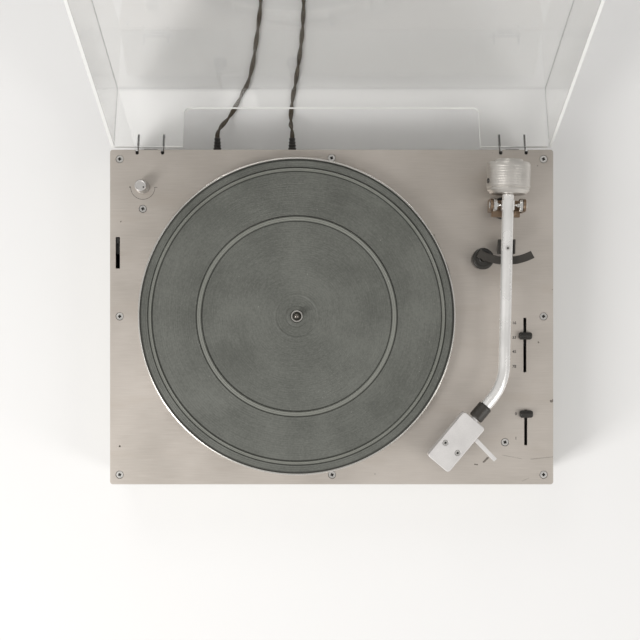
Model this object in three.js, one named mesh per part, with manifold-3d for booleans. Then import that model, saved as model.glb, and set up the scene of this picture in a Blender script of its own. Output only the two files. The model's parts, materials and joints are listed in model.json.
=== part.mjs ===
// A small idler-driven record player with a pivoted tonearm, shown with its clear lid open.
// Millimetres. X runs to the right, Y to the back and Z up from the surface that it stands on.
import * as THREE from "three";
import { mergeVertices } from "three/addons/utils/BufferGeometryUtils.js";
import Module from "manifold-3d";

const wasm = await Module();
wasm.setup();

// Driving dimensions -----------------------------------------------------------------------------

const GAP = 0.3; // between pieces that touch
const PLATE = { width: 400, depth: 302, thick: 2, corner: 2.5, top: 68 };
const FOOT = { height: 8, radius: 14, x: 165, y: 115 };
const PLINTH = { side: 199, front: -150, rear: 147, wall: 2, flange: 14 };
const PLATTER = {
  x: -31.2, y: 0.7, radius: 142, rimBottom: 2, deckTop: 13, lipTop: 14.6, bore: 134, sides: 44,
};
const MAT = { radius: 139.4, top: 15, ridgeTop: 16 };
const SPINDLE_RADIUS = 3.5;
const IDLER = { radius: 19.6, turn: 135, bite: 0.7 }; // bite is what its soft tyre gives when driving
const PULLEY_33 = 3.2; // radius of the motor pulley's step for 33 turns a minute
const ARM = { x: 154.1, y: 97.9, height: 34, radius: 5.15, yaw: -1.29, bendAngle: 38.7 };
const ARM_STRAIGHT = { rear: 8.2, front: -140.1, bendRadius: 48, tip: 7.9 };
const SHELL = { width: 23.8, length: 49.2, bottom: 24.5, top: 39, wall: 1.6, centre: 41.3 };
const WEIGHT = { radius: 18.9, front: 9.7, length: 29.9 };
const LIFT = { bearing: 23.6, reach: 50.6, columnRadius: 8.7, barTop: 28.4, barThick: 2.6 };
const LID = { wall: 3, height: 62, sideInset: 0.5, rearInset: 1.5, rimGap: 0.5, open: 110 };
const HINGE = { x: 163.5, span: 23, wire: 0.6, y: 149.5, z: -3.6, legDepth: 1.5, legTop: 16 };
const NOTCH = { offset: 0.6, width: 3, depth: 4.4 };
const CABLE_NOTCH = { half: 134.6, height: 39.8, corner: 5 };
const SPEED = { x: 174.4, slot: [-49.8, -0.8], knob: -17 };
const POWER = { x: 175.2, slot: [-115.7, -83.8], knob: -87.4 };
const SLOT_WIDTH = 2.6;
const TRANSIT = { x: -193, slot: [43.8, 72.2], width: 3.7 };
const FINE_SPEED = { x: -170.4, y: 117.1, radius: 5.3, height: 16 };
const CORD_RADIUS = 2.25;
const CORD_EXIT_HEIGHT = 26;
const COIL = { middle: 26.5, pitch: 4.6, layers: 2, y: 347 };

const SCREW = { headRadius: 3.2, headThick: 1.7, shankRadius: 1.5, length: 5.5, clearRadius: 3.5 };
const SCREW_PLACES = [
  [-191.3, 142.6], [0, 143.6], [191.3, 142.6],
  [-191.3, 0.6], [191.3, 0.6],
  [-191.3, -142.3], [0.4, -142.3], [191.3, -142.3],
  [-170.4, 97.7], [156.5, -113],
];

// Shapes, solids and placing ------------------------------------------------------------------------

const degrees = THREE.MathUtils.degToRad;

// A closed geometry as a manifold-3d solid, so that it can be joined and cut.
function toSolid(geometry) {
  const bare = geometry.index ? geometry.toNonIndexed() : geometry.clone();
  bare.deleteAttribute("normal");
  bare.deleteAttribute("uv");
  const merged = mergeVertices(bare, 1e-4);
  const corners = merged.index.array;
  const kept = [];
  for (let i = 0; i < corners.length; i += 3) {
    const [a, b, c] = corners.slice(i, i + 3);
    if (a !== b && b !== c && c !== a) kept.push(a, b, c);
  }
  return new wasm.Manifold(
    new wasm.Mesh({
      numProp: 3,
      vertProperties: merged.attributes.position.array,
      triVerts: new Uint32Array(kept),
    }),
  );
}

function toGeometry(solid) {
  const mesh = solid.getMesh();
  const geometry = new THREE.BufferGeometry();
  geometry.setAttribute("position", new THREE.BufferAttribute(mesh.vertProperties, 3));
  geometry.setIndex(new THREE.BufferAttribute(mesh.triVerts, 1));
  const flat = geometry.toNonIndexed();
  flat.computeVertexNormals();
  return flat;
}

const join = (...parts) => toGeometry(parts.map(toSolid).reduce((sum, next) => sum.add(next)));
const cut = (body, ...tools) =>
  toGeometry(tools.map(toSolid).reduce((left, tool) => left.subtract(tool), toSolid(body)));

// A profile of [radius, height] points turned about Z.
function turned(profile, segments = 24) {
  const points = profile.map(([r, z]) => new THREE.Vector2(r, z));
  return new THREE.LatheGeometry(points, segments).rotateX(Math.PI / 2);
}

function disc(radius, bottom, top, segments = 24) {
  return turned([[0, bottom], [radius, bottom], [radius, top], [0, top]], segments);
}

function ring(inner, outer, bottom, top, segments = 24) {
  const section = [[inner, bottom], [outer, bottom], [outer, top], [inner, top], [inner, bottom]];
  return turned(section, segments);
}

function block(low, high) {
  const size = high.map((value, i) => value - low[i]);
  const centre = high.map((value, i) => (value + low[i]) / 2);
  return new THREE.BoxGeometry(...size).translate(...centre);
}

// A rectangle with round corners, as a shape or, for a hole, as a path.
function roundedRect(low, high, radius, Kind = THREE.Shape) {
  const [x0, y0] = low;
  const [x1, y1] = high;
  const path = new Kind();
  path.moveTo(x0 + radius, y0);
  path.lineTo(x1 - radius, y0);
  path.absarc(x1 - radius, y0 + radius, radius, -Math.PI / 2, 0);
  path.lineTo(x1, y1 - radius);
  path.absarc(x1 - radius, y1 - radius, radius, 0, Math.PI / 2);
  path.lineTo(x0 + radius, y1);
  path.absarc(x0 + radius, y1 - radius, radius, Math.PI / 2, Math.PI);
  path.lineTo(x0, y0 + radius);
  path.absarc(x0 + radius, y0 + radius, radius, Math.PI, 1.5 * Math.PI);
  return path;
}

function circlePath(x, y, radius) {
  const path = new THREE.Path();
  path.absarc(x, y, radius, 0, 2 * Math.PI, true);
  return path;
}

function extruded(shape, bottom, top, curveSegments = 3) {
  const options = { depth: top - bottom, bevelEnabled: false, curveSegments };
  return new THREE.ExtrudeGeometry(shape, options).translate(0, 0, bottom);
}

// A round bar along a curve.
function bar(curve, radius, steps, sides = 12) {
  const section = new THREE.Shape();
  for (let i = 0; i < sides; i++) {
    const turn = (2 * Math.PI * i) / sides;
    section[i ? "lineTo" : "moveTo"](radius * Math.cos(turn), radius * Math.sin(turn));
  }
  return new THREE.ExtrudeGeometry(section, { steps, extrudePath: curve, bevelEnabled: false });
}

const point = (x, y, z) => new THREE.Vector3(x, y, z);
const alongX = (geometry) => geometry.rotateY(Math.PI / 2);
const alongY = (geometry) => geometry.rotateX(-Math.PI / 2);

const finishes = {
  plate: new THREE.MeshStandardMaterial({ color: 0xaca296, roughness: 0.45, metalness: 0.8 }),
  lacquer: new THREE.MeshStandardMaterial({ color: 0xd6d3cb, roughness: 0.5, metalness: 0.1 }),
  silver: new THREE.MeshStandardMaterial({ color: 0xd0ccc6, roughness: 0.3, metalness: 0.9 }),
  steel: new THREE.MeshStandardMaterial({ color: 0x8d8a86, roughness: 0.35, metalness: 1 }),
  brass: new THREE.MeshStandardMaterial({ color: 0xb08d57, roughness: 0.35, metalness: 1 }),
  bronze: new THREE.MeshStandardMaterial({ color: 0x8c7460, roughness: 0.4, metalness: 0.9 }),
  black: new THREE.MeshStandardMaterial({ color: 0x1b1a19, roughness: 0.4, metalness: 0 }),
  rubber: new THREE.MeshStandardMaterial({ color: 0x262624, roughness: 0.8, metalness: 0 }),
  mat: new THREE.MeshStandardMaterial({ color: 0x696a62, roughness: 0.75, metalness: 0 }),
  cord: new THREE.MeshStandardMaterial({ color: 0x3a3226, roughness: 0.6, metalness: 0 }),
  clear: new THREE.MeshStandardMaterial({
    color: 0xf2f2ee, roughness: 0.05, metalness: 0, transparent: true, opacity: 0.3,
  }),
};

function piece(name, geometry, finish) {
  const mesh = new THREE.Mesh(geometry, finishes[finish]);
  mesh.name = name;
  return mesh;
}

const player = new THREE.Group();
const deck = new THREE.Group(); // heights from the floor, places from the plate's centre
const onPlate = new THREE.Group(); // heights from the plate's top face
onPlate.position.z = PLATE.top;
deck.add(onPlate);
player.add(deck);

// Casing ------------------------------------------------------------------------------------------

const halfWidth = PLATE.width / 2;
const halfDepth = PLATE.depth / 2;
const plateUnder = -PLATE.thick;
const wireXs = [-1, 1].flatMap((side) => [-1, 1].map((leg) => side * HINGE.x + (leg * HINGE.span) / 2));
const idlerReach = PLATTER.bore - IDLER.radius - IDLER.bite;
const idlerAt = [
  PLATTER.x + idlerReach * Math.cos(degrees(IDLER.turn)),
  PLATTER.y + idlerReach * Math.sin(degrees(IDLER.turn)),
];
const motorReach = IDLER.radius + PULLEY_33 + GAP;
const motorAt = [
  idlerAt[0] + motorReach * Math.cos(degrees(-20)),
  idlerAt[1] + motorReach * Math.sin(degrees(-20)),
];
const liftAt = [
  ARM.x - LIFT.reach * Math.sin(degrees(LIFT.bearing)),
  ARM.y - LIFT.reach * Math.cos(degrees(LIFT.bearing)),
];

// The plate's outline has four round-ended notches in its rear edge, where the hinge wires pass.
function plateOutline() {
  const shape = new THREE.Shape();
  const r = PLATE.corner;
  shape.moveTo(-halfWidth + r, -halfDepth);
  shape.lineTo(halfWidth - r, -halfDepth);
  shape.absarc(halfWidth - r, -halfDepth + r, r, -Math.PI / 2, 0);
  shape.lineTo(halfWidth, halfDepth - r);
  shape.absarc(halfWidth - r, halfDepth - r, r, 0, Math.PI / 2);
  const half = NOTCH.width / 2;
  for (const wireX of [...wireXs].sort((a, b) => b - a)) {
    const x = wireX + Math.sign(wireX) * NOTCH.offset;
    shape.lineTo(x + half, halfDepth);
    shape.lineTo(x + half, halfDepth - NOTCH.depth + half);
    shape.absarc(x, halfDepth - NOTCH.depth + half, half, 0, -Math.PI, true);
    shape.lineTo(x - half, halfDepth);
  }
  shape.lineTo(-halfWidth + r, halfDepth);
  shape.absarc(-halfWidth + r, halfDepth - r, r, Math.PI / 2, Math.PI);
  shape.lineTo(-halfWidth, -halfDepth + r);
  shape.absarc(-halfWidth + r, -halfDepth + r, r, Math.PI, 1.5 * Math.PI);
  return shape;
}

function slotHole(x, [front, rear], width) {
  return roundedRect([x - width / 2, front], [x + width / 2, rear], 0.4, THREE.Path);
}

function topPlate() {
  const outline = plateOutline();
  const round = [
    [PLATTER.x, PLATTER.y, 12.5], [ARM.x, ARM.y, 7.6], [FINE_SPEED.x, FINE_SPEED.y, 3.2],
    [...motorAt, 8.6], [...idlerAt, 2.4], [-191.2, -116.6, 0.8],
  ];
  outline.holes = [
    ...round.map((hole) => circlePath(...hole)),
    ...SCREW_PLACES.map(([x, y]) => circlePath(x, y, SCREW.clearRadius)),
    slotHole(SPEED.x, SPEED.slot, SLOT_WIDTH),
    slotHole(POWER.x, POWER.slot, SLOT_WIDTH),
    slotHole(TRANSIT.x, TRANSIT.slot, TRANSIT.width),
  ];
  return extruded(outline, plateUnder, 0, 4);
}

// Four folded walls with a flange under the plate and another above the bottom cover.
function plinthShell() {
  const bottom = FOOT.height;
  const top = PLATE.top - PLATE.thick - GAP;
  const corners = [[-PLINTH.side, PLINTH.front], [PLINTH.side, PLINTH.rear]];
  const inset = (by) => [
    [corners[0][0] + by, corners[0][1] + by],
    [corners[1][0] - by, corners[1][1] - by],
  ];
  const hollow = (by, low, high) => {
    const shape = roundedRect(...corners, 3);
    shape.holes = [roundedRect(...inset(by), 1.5, THREE.Path)];
    return extruded(shape, low, high, 2);
  };
  const shaft = (x, y) => disc(SCREW.shankRadius + 0.4, 50, 70, 8).translate(x, y, 0);
  const screwHoles = SCREW_PLACES.slice(0, 8).map(([x, y]) => shaft(x, y));
  const glandHole = (x) =>
    alongY(disc(4.4, -6, 6, 12)).translate(x, PLINTH.rear, CORD_EXIT_HEIGHT);
  const [slotFront, slotRear] = TRANSIT.slot;
  return cut(
    join(
      hollow(PLINTH.wall, bottom, top),
      hollow(PLINTH.flange, top - 2, top),
      hollow(10, bottom + 1.5, bottom + 3),
    ),
    ...screwHoles,
    glandHole(CORDS[0].exitX),
    glandHole(CORDS[1].exitX),
    block([-PLINTH.side + PLINTH.wall, slotFront - 12, 50], [-180, slotRear + 6, 70]),
  );
}

function footGeometry() {
  const { height, radius } = FOOT;
  return turned([[0, 0], [radius - 2, 0], [radius, 2], [radius - 1.5, height - GAP],
    [0, height - GAP]], 16);
}

function casing() {
  onPlate.add(piece("top_plate", topPlate(), "plate"));
  deck.add(piece("plinth_shell", plinthShell(), "lacquer"));
  const low = [-PLINTH.side + PLINTH.wall + 0.5, PLINTH.front + PLINTH.wall + 0.5];
  const high = [-low[0], PLINTH.rear - PLINTH.wall - 0.5];
  const cover = extruded(roundedRect(low, high, 1), FOOT.height, FOOT.height + 1.2, 2);
  deck.add(piece("bottom_cover", cover, "steel"));
  for (const [end, y] of [["front", -FOOT.y], ["rear", FOOT.y]]) {
    for (const [side, x] of [["left", -FOOT.x], ["right", FOOT.x]]) {
      const foot = piece(`foot_${end}_${side}`, footGeometry(), "rubber");
      foot.position.set(x, y, 0);
      deck.add(foot);
    }
  }
  const screw = turned([
    [0, -SCREW.length], [SCREW.shankRadius, -SCREW.length], [SCREW.shankRadius, -SCREW.headThick],
    [SCREW.headRadius, -0.3], [SCREW.headRadius, 0], [0, 0],
  ], 8);
  SCREW_PLACES.forEach(([x, y], i) => {
    const mesh = piece(`plate_screw_${i + 1}`, screw, "steel");
    mesh.position.set(x, y, 0);
    onPlate.add(mesh);
  });
}

// Platter and drive ---------------------------------------------------------------------------------

function platter() {
  const { radius, rimBottom, deckTop, lipTop } = PLATTER;
  const bore = SPINDLE_RADIUS + GAP;
  const lip = MAT.radius + 0.5;
  return turned([
    [bore, 0.6], [16, 0.6], [20, 9.5], [PLATTER.bore, 9.5], [PLATTER.bore, rimBottom], [radius - 1, rimBottom],
    [radius, rimBottom + 1], [radius, lipTop - 1], [radius - 0.8, lipTop], [lip, lipTop],
    [lip, deckTop], [bore, deckTop], [bore, 0.6],
  ], PLATTER.sides);
}

function mat() {
  const { top, ridgeTop } = MAT;
  const floor = PLATTER.deckTop + GAP;
  return turned([
    [5.3, floor], [MAT.radius, floor], [MAT.radius, top], [132.8, top], [132.3, ridgeTop],
    [129.3, ridgeTop], [128.8, top], [89.7, top], [89.2, ridgeTop], [85, ridgeTop],
    [84.5, top], [5.3, top], [5.3, floor],
  ], PLATTER.sides);
}

function spindle() {
  const r = SPINDLE_RADIUS;
  return turned([[0, -42.6], [r, -42.6], [r, 24], [r * 0.8, 25.8], [r * 0.4, 26.8], [0, 27]], 16);
}

function bearing() {
  const bore = SPINDLE_RADIUS + GAP;
  return turned([
    [0, -46], [9, -46], [9, -6], [22, -6], [22, plateUnder - GAP], [11, plateUnder - GAP],
    [11, -0.6], [bore, -0.6], [bore, -43], [0, -43],
  ], 16);
}

// Four steps, one for each speed, with the idler level with the third of them.
function motorPulley() {
  const steps = [[7.45, 0.6, 2.6], [4.3, 2.6, 4.7], [PULLEY_33, 4.7, 6.8], [1.6, 6.8, 8.9]];
  const profile = [[0, -11], [1.5, -11], [1.5, 0.6]];
  for (const [radius, low, high] of steps) profile.push([radius, low], [radius, high]);
  return turned([...profile, [0, 8.9]], 14);
}

function motorBracket() {
  const [x, y] = motorAt;
  const sheet = roundedRect([x - 36, y - 32], [x + 36, y + 32], 4);
  sheet.holes = [circlePath(x, y, 4)];
  const posts = [[-30, -26], [30, -26], [30, 26], [-30, 26]].map(([dx, dy]) =>
    disc(4, -12, plateUnder - GAP, 12).translate(x + dx, y + dy, 0),
  );
  return join(extruded(sheet, -13.5, -12, 4), ...posts);
}

function motorHousing() {
  const [x, y] = motorAt;
  const body = extruded(roundedRect([x - 28, y - 28], [x + 28, y + 28], 6), -50, -13.8, 4);
  return cut(body, disc(2.2, -22, 0, 12).translate(x, y, 0));
}

// A lever on a pin under the plate, whose second pin comes up through the plate to the wheel.
function idlerArm() {
  const pivot = [idlerAt[0] - 34, idlerAt[1] - 12];
  const lever = new THREE.Shape();
  const angle = Math.atan2(idlerAt[1] - pivot[1], idlerAt[0] - pivot[0]);
  lever.absarc(...idlerAt, 5, angle - Math.PI / 2, angle + Math.PI / 2);
  lever.absarc(...pivot, 6, angle + Math.PI / 2, angle + 1.5 * Math.PI);
  return join(
    extruded(lever, -8, -6, 6),
    disc(1.5, -6, 8.4, 12).translate(...idlerAt, 0),
    disc(4, -6, plateUnder - GAP, 12).translate(...pivot, 0),
  );
}

function drive() {
  const place = (name, geometry, finish) => {
    const mesh = piece(name, geometry, finish);
    mesh.position.set(PLATTER.x, PLATTER.y, 0);
    onPlate.add(mesh);
  };
  place("platter", platter(), "silver");
  place("platter_mat", mat(), "mat");
  place("spindle", spindle(), "silver");
  place("platter_bearing", bearing(), "brass");
  const pulley = piece("motor_pulley", motorPulley(), "brass");
  pulley.position.set(...motorAt, 0);
  const idler = piece("idler_wheel", ring(1.5 + GAP, IDLER.radius, 5, 6.5, 28), "rubber");
  idler.position.set(...idlerAt, 0);
  onPlate.add(pulley, idler);
  onPlate.add(piece("motor_bracket", motorBracket(), "steel"));
  onPlate.add(piece("motor_housing", motorHousing(), "steel"));
  onPlate.add(piece("idler_arm", idlerArm(), "steel"));
}

// Controls --------------------------------------------------------------------------------------------

// A knob above the plate, a flat stem through the slot and a carriage under the plate.
function slider(x, y, linkLength) {
  const knob = extruded(roundedRect([-6, -3.3], [6, 3.3], 2.2), 0.4, 7, 4);
  const stem = block([-0.9, -2.2, -6], [0.9, 2.2, 1]);
  const carriage = block([-8, -9, -8], [8, 9, -6]);
  const link = block([-1.5, 0, -9.5], [1.5, linkLength, -8]);
  return join(knob, stem, carriage, link).translate(x, y, 0);
}

function controls() {
  onPlate.add(piece("speed_slider", slider(SPEED.x, SPEED.knob, 60), "black"));
  onPlate.add(piece("power_slider", slider(POWER.x, POWER.knob, 14), "black"));
  const tab = join(
    block([-1.2, -2.5, -4], [1.2, 2.5, -0.6]),
    block([-3.5, -12, -5], [8, 4, -4]),
  );
  const transit = piece("transit_slider", tab, "steel");
  transit.position.set(TRANSIT.x, TRANSIT.slot[1] - 3.2, 0);
  onPlate.add(transit);
  const { radius, height } = FINE_SPEED;
  const knob = piece("fine_speed_knob", turned([
    [0, -14], [6, -14], [6, -11], [2.8, -11], [2.8, 0.5], [radius + 0.7, 0.5], [radius + 0.7, 6],
    [radius, 6.5], [radius, height - 0.6], [radius - 0.6, height], [0, height],
  ], 18), "silver");
  knob.position.set(FINE_SPEED.x, FINE_SPEED.y, 0);
  onPlate.add(knob);
  const box = block([POWER.x - 9, -128, -24], [POWER.x + 9, -84, -11]);
  onPlate.add(piece("mains_switch", box, "black"));
  const blockLow = [CORDS[0].exitX - 16, 112, FOOT.height + 3.5];
  deck.add(piece("terminal_block", block(blockLow, [CORDS[0].exitX + 16, 126, 26]), "black"));
}

// Tonearm -----------------------------------------------------------------------------------------------

// The arm is drawn in its own frame: its pivot on Z, its tube along -Y, turned to its rest angle.
const arm = new THREE.Group();
arm.position.set(ARM.x, ARM.y, 0);
arm.rotation.z = degrees(ARM.yaw);
onPlate.add(arm);

// The head's frame has its origin at the tube's end and the head's axis along -Y.
const bend = degrees(ARM.bendAngle);
const tubeEnd = [
  -ARM_STRAIGHT.bendRadius * (1 - Math.cos(bend)) - ARM_STRAIGHT.tip * Math.sin(bend),
  ARM_STRAIGHT.front - ARM_STRAIGHT.bendRadius * Math.sin(bend) - ARM_STRAIGHT.tip * Math.cos(bend),
];
const head = new THREE.Group();
head.position.set(...tubeEnd, 0);
head.rotation.z = -bend;
arm.add(head);

function armPath() {
  const { rear, front, bendRadius } = ARM_STRAIGHT;
  const path = new THREE.CurvePath();
  const from = point(0, rear, ARM.height);
  const bendStart = point(0, front, ARM.height);
  const onBend = (turn) =>
    point(-bendRadius * (1 - Math.cos(turn)), front - bendRadius * Math.sin(turn), ARM.height);
  path.add(new THREE.LineCurve3(from, bendStart));
  const parts = 7;
  for (let i = 0; i < parts; i++) {
    path.add(new THREE.LineCurve3(onBend((bend * i) / parts), onBend((bend * (i + 1)) / parts)));
  }
  path.add(new THREE.LineCurve3(onBend(bend), point(...tubeEnd, ARM.height)));
  return path;
}

function armBase() {
  return turned([
    [0, -14], [6.5, -14], [6.5, GAP], [10, GAP], [10, 3], [6.5, 3.4], [6.5, 16], [3.3, 16],
    [3.3, 4], [0, 4],
  ], 16);
}

// A sheet bracket with two uprights on a short vertical shaft, and a block across its front.
function yoke() {
  const upright = (side) => {
    const shape = new THREE.Shape();
    shape.moveTo(5.5, 16.4);
    shape.lineTo(5.5, ARM.height);
    shape.absarc(0, ARM.height, 5.5, 0, Math.PI);
    shape.lineTo(-5.5, 16.4);
    const sheet = new THREE.ExtrudeGeometry(shape, {
      depth: 2.3, bevelEnabled: false, curveSegments: 5,
    });
    sheet.rotateX(Math.PI / 2).rotateZ(Math.PI / 2);
    return sheet.translate(side > 0 ? 13.2 : -15.5, 0, 0);
  };
  return cut(
    join(
      block([-15.5, -5.5, 16.4], [15.5, 5.5, 18.9]),
      block([-12.5, -9.5, 16.4], [12.5, -4, 22.5]),
      upright(-1),
      upright(1),
      disc(3, 5, 17, 14),
    ),
    alongX(disc(2.4, -20, 20, 12)).translate(0, 0, ARM.height),
  );
}

// A pointed screw through an upright, with its round lock nut inside.
function pivotBearing(side) {
  const screw = turned([
    [0, 6.7], [1.2, 8], [2, 8.6], [2, 9.8], [5.75, 9.8], [5.75, 12.9], [2, 12.9], [2, 15.8],
    [3, 15.8], [3, 17.2], [0, 17.2],
  ], 12);
  return alongX(screw).rotateZ(side < 0 ? Math.PI : 0).translate(0, 0, ARM.height);
}

function armTube() {
  const tube = bar(armPath(), ARM.radius, 30, 12);
  const pivotBlock = block([-6.2, -4.5, ARM.height - 6], [6.2, 4.5, ARM.height + 5]);
  const cups = [-1, 1].map((side) =>
    alongX(disc(2.4, -1.2, 1.2, 10)).translate(side * 6.2, 0, ARM.height),
  );
  return cut(join(tube, pivotBlock), ...cups);
}

function headshell() {
  const { width, length, bottom, top, wall, centre } = SHELL;
  const box = (inset, low, high) => {
    const half = width / 2 - inset;
    const front = -centre - length / 2 + inset;
    const rear = -centre + length / 2 - inset;
    return extruded(roundedRect([-half, front], [half, rear], 2.6 - inset), low, high, 4);
  };
  const neckRear = -12.2;
  const neck = alongY(disc(4, 0, 6, 14)).translate(0, -centre + length / 2 - 1, ARM.height);
  const trimmed = cut(neck, block([-10, neckRear, 0], [10, 10, 60]));
  return join(cut(box(0, bottom, top), box(wall, bottom - 1, top - wall)), trimmed);
}

function tonearm() {
  const { centre, width, top, wall } = SHELL;
  arm.add(piece("arm_base", armBase(), "black"));
  arm.add(piece("arm_yoke", yoke(), "bronze"));
  arm.add(piece("pivot_bearing_left", pivotBearing(-1), "silver"));
  arm.add(piece("pivot_bearing_right", pivotBearing(1), "silver"));
  arm.add(piece("arm_tube", armTube(), "silver"));
  const rearStart = ARM_STRAIGHT.rear + GAP;
  const stub = alongY(disc(4, rearStart, 36, 16)).translate(0, 0, ARM.height);
  arm.add(piece("balance_stub", stub, "steel"));

  const { radius, front, length } = WEIGHT;
  const weight = turned([
    [4.4, front], [radius - 3.1, front], [radius - 0.3, front + 3], [radius, front + 6],
    [radius, front + length - 3.5], [radius - 1, front + length - 2.6], [12.6, front + length - 2.2],
    [12.4, front + length], [0, front + length], [0, front + length - 2.6],
    [4.4, front + length - 2.6], [4.4, front],
  ], 28);
  arm.add(piece("counterweight", alongY(weight).translate(0, 0, ARM.height), "silver"));

  const collar = alongY(disc(6.15, -11.9, -GAP, 18)).translate(0, 0, ARM.height);
  head.add(piece("arm_collar", collar, "black"));
  head.add(piece("headshell", headshell(), "silver"));
  const cartridgeTop = top - wall - GAP;
  const cartridge = block([-8, -centre - 21, 21], [8, -centre + 9, cartridgeTop]);
  head.add(piece("cartridge", cartridge, "black"));
  const styliHolder = join(
    block([-2.5, -centre - 19, 19.8], [2.5, -centre - 9, 21 - GAP]),
    turned([[0, 18.6], [0.7, 20], [0, 20.2]], 8).translate(0, -centre - 16.3, 0),
  );
  head.add(piece("stylus", styliHolder, "black"));
  const lift = new THREE.Shape();
  lift.moveTo(0, -1.5);
  lift.lineTo(22.5, -1.5);
  lift.absarc(22.5, 0, 1.5, -Math.PI / 2, Math.PI / 2);
  lift.lineTo(0, 1.5);
  const finger = extruded(lift, 35, 36.6, 4);
  finger.rotateZ(degrees(-6)).translate(width / 2 + GAP, -centre + 12.5, 0);
  head.add(piece("finger_lift", finger, "silver"));
}

// The rest's prong stands outside the tube and the lift's bar is an arc about the arm's pivot.
function restAndLift() {
  const under = ARM.height - ARM.radius - 0.35;
  const rest = join(
    block([-7.3, -45.2, under - 3.5], [7.3, -29.7, under]),
    block([5.7, -45.2, under - 3.5], [7.3, -29.7, ARM.height + 1]),
    disc(3.5, GAP, under - 2, 14).translate(0, -37.5, 0),
  );
  arm.add(piece("arm_rest", rest, "black"));

  const { columnRadius, barTop, barThick, reach } = LIFT;
  const columnTop = barTop - barThick - 0.4;
  const column = piece("lift_column", turned([
    [0, GAP], [columnRadius, GAP], [columnRadius, columnTop - 0.8], [columnRadius - 0.8, columnTop],
    [2.4, columnTop], [2.4, 6], [0, 6],
  ], 16), "black");
  column.position.set(...liftAt, 0);
  onPlate.add(column);

  const halfBar = 3.5;
  const [left, right] = [degrees(-90 - 30), degrees(-90 + 31)];
  const sector = new THREE.Shape();
  sector.absarc(0, 0, reach + halfBar, left, right);
  sector.absarc(0, 0, reach - halfBar, right, left, true);
  const sheet = extruded(sector, barTop - barThick, barTop, 12).translate(ARM.x, ARM.y, 0);
  const rod = disc(2, 14, barTop - 1, 12).translate(...liftAt, 0);
  onPlate.add(piece("lift_bar", join(sheet, rod), "black"));
}

// Lid -------------------------------------------------------------------------------------------------

// The lid is drawn closed, with its hinge axis through the origin, and turned back to stand open.
const lid = new THREE.Group();
lid.position.set(0, HINGE.y, HINGE.z);
lid.rotation.x = degrees(-LID.open);
onPlate.add(lid);

function lidShell() {
  const { wall, height, sideInset, rearInset, rimGap } = LID;
  const half = halfWidth - sideInset;
  const rear = halfDepth - rearInset - HINGE.y;
  const front = rear - (PLATE.depth - 2 * rearInset);
  const rim = rimGap - HINGE.z;
  const outer = block([-half, front, rim], [half, rear, rim + height]);
  const inner = block(
    [-half + wall, front + wall, rim - 5],
    [half - wall, rear - wall, rim + height - wall],
  );
  const { half: notchHalf, height: notchHeight, corner } = CABLE_NOTCH;
  const opening = roundedRect([-notchHalf, rim - 10], [notchHalf, rim + notchHeight], corner);
  const notch = extruded(opening, -6, 6, 5).rotateX(Math.PI / 2).translate(0, rear, 0);
  const wireHoles = wireXs.map((x) => disc(0.95, rim - 2, HINGE.legTop + 0.6, 8)
    .translate(x, rear - HINGE.legDepth, 0));
  return cut(outer, inner, notch, ...wireHoles);
}

// A U of spring wire: two legs in the lid's rear wall, joined by a bar on the hinge axis.
function hingeWire(x) {
  const half = HINGE.span / 2;
  const { legDepth, legTop } = HINGE;
  const route = new THREE.CatmullRomCurve3([
    point(x - half, -legDepth, legTop), point(x - half, -legDepth, legTop / 2),
    point(x - half, -legDepth, 2.2), point(x - half + 0.4, -legDepth / 2, 0.6),
    point(x - half + 1.8, 0, 0), point(x, 0, 0), point(x + half - 1.8, 0, 0),
    point(x + half - 0.4, -legDepth / 2, 0.6), point(x + half, -legDepth, 2.2),
    point(x + half, -legDepth, legTop / 2), point(x + half, -legDepth, legTop),
  ], false, "centripetal");
  return bar(route, HINGE.wire, 34, 6);
}

function lidAndHinges() {
  lid.add(piece("lid", lidShell(), "clear"));
  for (const [side, x] of [["left", -HINGE.x], ["right", HINGE.x]]) {
    lid.add(piece(`hinge_wire_${side}`, hingeWire(x), "steel"));
    const rear = PLINTH.rear + GAP;
    const clip = cut(
      block([-6, rear, -10], [6, HINGE.y + 2.2, plateUnder - GAP]),
      alongX(disc(1, -10, 10, 10)).translate(0, HINGE.y, HINGE.z),
    );
    onPlate.add(piece(`hinge_clip_${side}`, clip.translate(x, 0, 0), "black"));
  }
}

// Cords ---------------------------------------------------------------------------------------------------

// Routes from the strain relief to the coil, as [x, y, height] points chosen by hand.
const CORDS = [
  {
    name: "mains", exitX: -106.5, coilX: -100, side: 1, turnsWide: 4,
    route: [
      [-106.5, 167.7, 26], [-106.5, 170.7, 26], [-105.2, 176, 22.8], [-102, 182, 15.2],
      [-98.4, 188, 8], [-94.8, 194, 4], [-90.4, 201.5, 2.5], [-84.5, 213, 2.5],
      [-79, 226, 2.5], [-74.8, 242, 2.5], [-72, 260, 2.5], [-69.6, 278, 2.5],
      [-67.6, 296, 2.5], [-66.6, 312, 2.5], [-66.6, 329, 2.5],
    ],
  },
  {
    name: "audio", exitX: -36.5, coilX: 5, side: -1, turnsWide: 3,
    route: [
      [-36.5, 167.7, 26], [-36.5, 170.7, 26], [-37.2, 175.8, 22.6], [-38, 181, 15.2],
      [-38.4, 186.5, 8], [-38.3, 192.5, 3.8], [-37.6, 200, 2.5], [-36, 212, 2.5],
      [-33.4, 228, 2.5], [-30.6, 246, 2.5], [-28.4, 264, 2.5], [-26.9, 282, 2.5],
      [-26.2, 300, 2.5], [-26.1, 314, 2.5], [-26.1, 330, 2.5],
    ],
  },
];

function strainRelief(x) {
  const from = PLINTH.rear;
  const profile = [
    [0, from - 5], [6.5, from - 5], [6.5, from - 2.3], [4, from - 2.3], [4, from + GAP],
    [6.5, from + GAP], [6.5, from + 2.2], [4.2, from + 3], [2.9, 167.3], [0, 167.3],
  ];
  return alongY(turned(profile, 12)).translate(x, 0, CORD_EXIT_HEIGHT);
}

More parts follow.
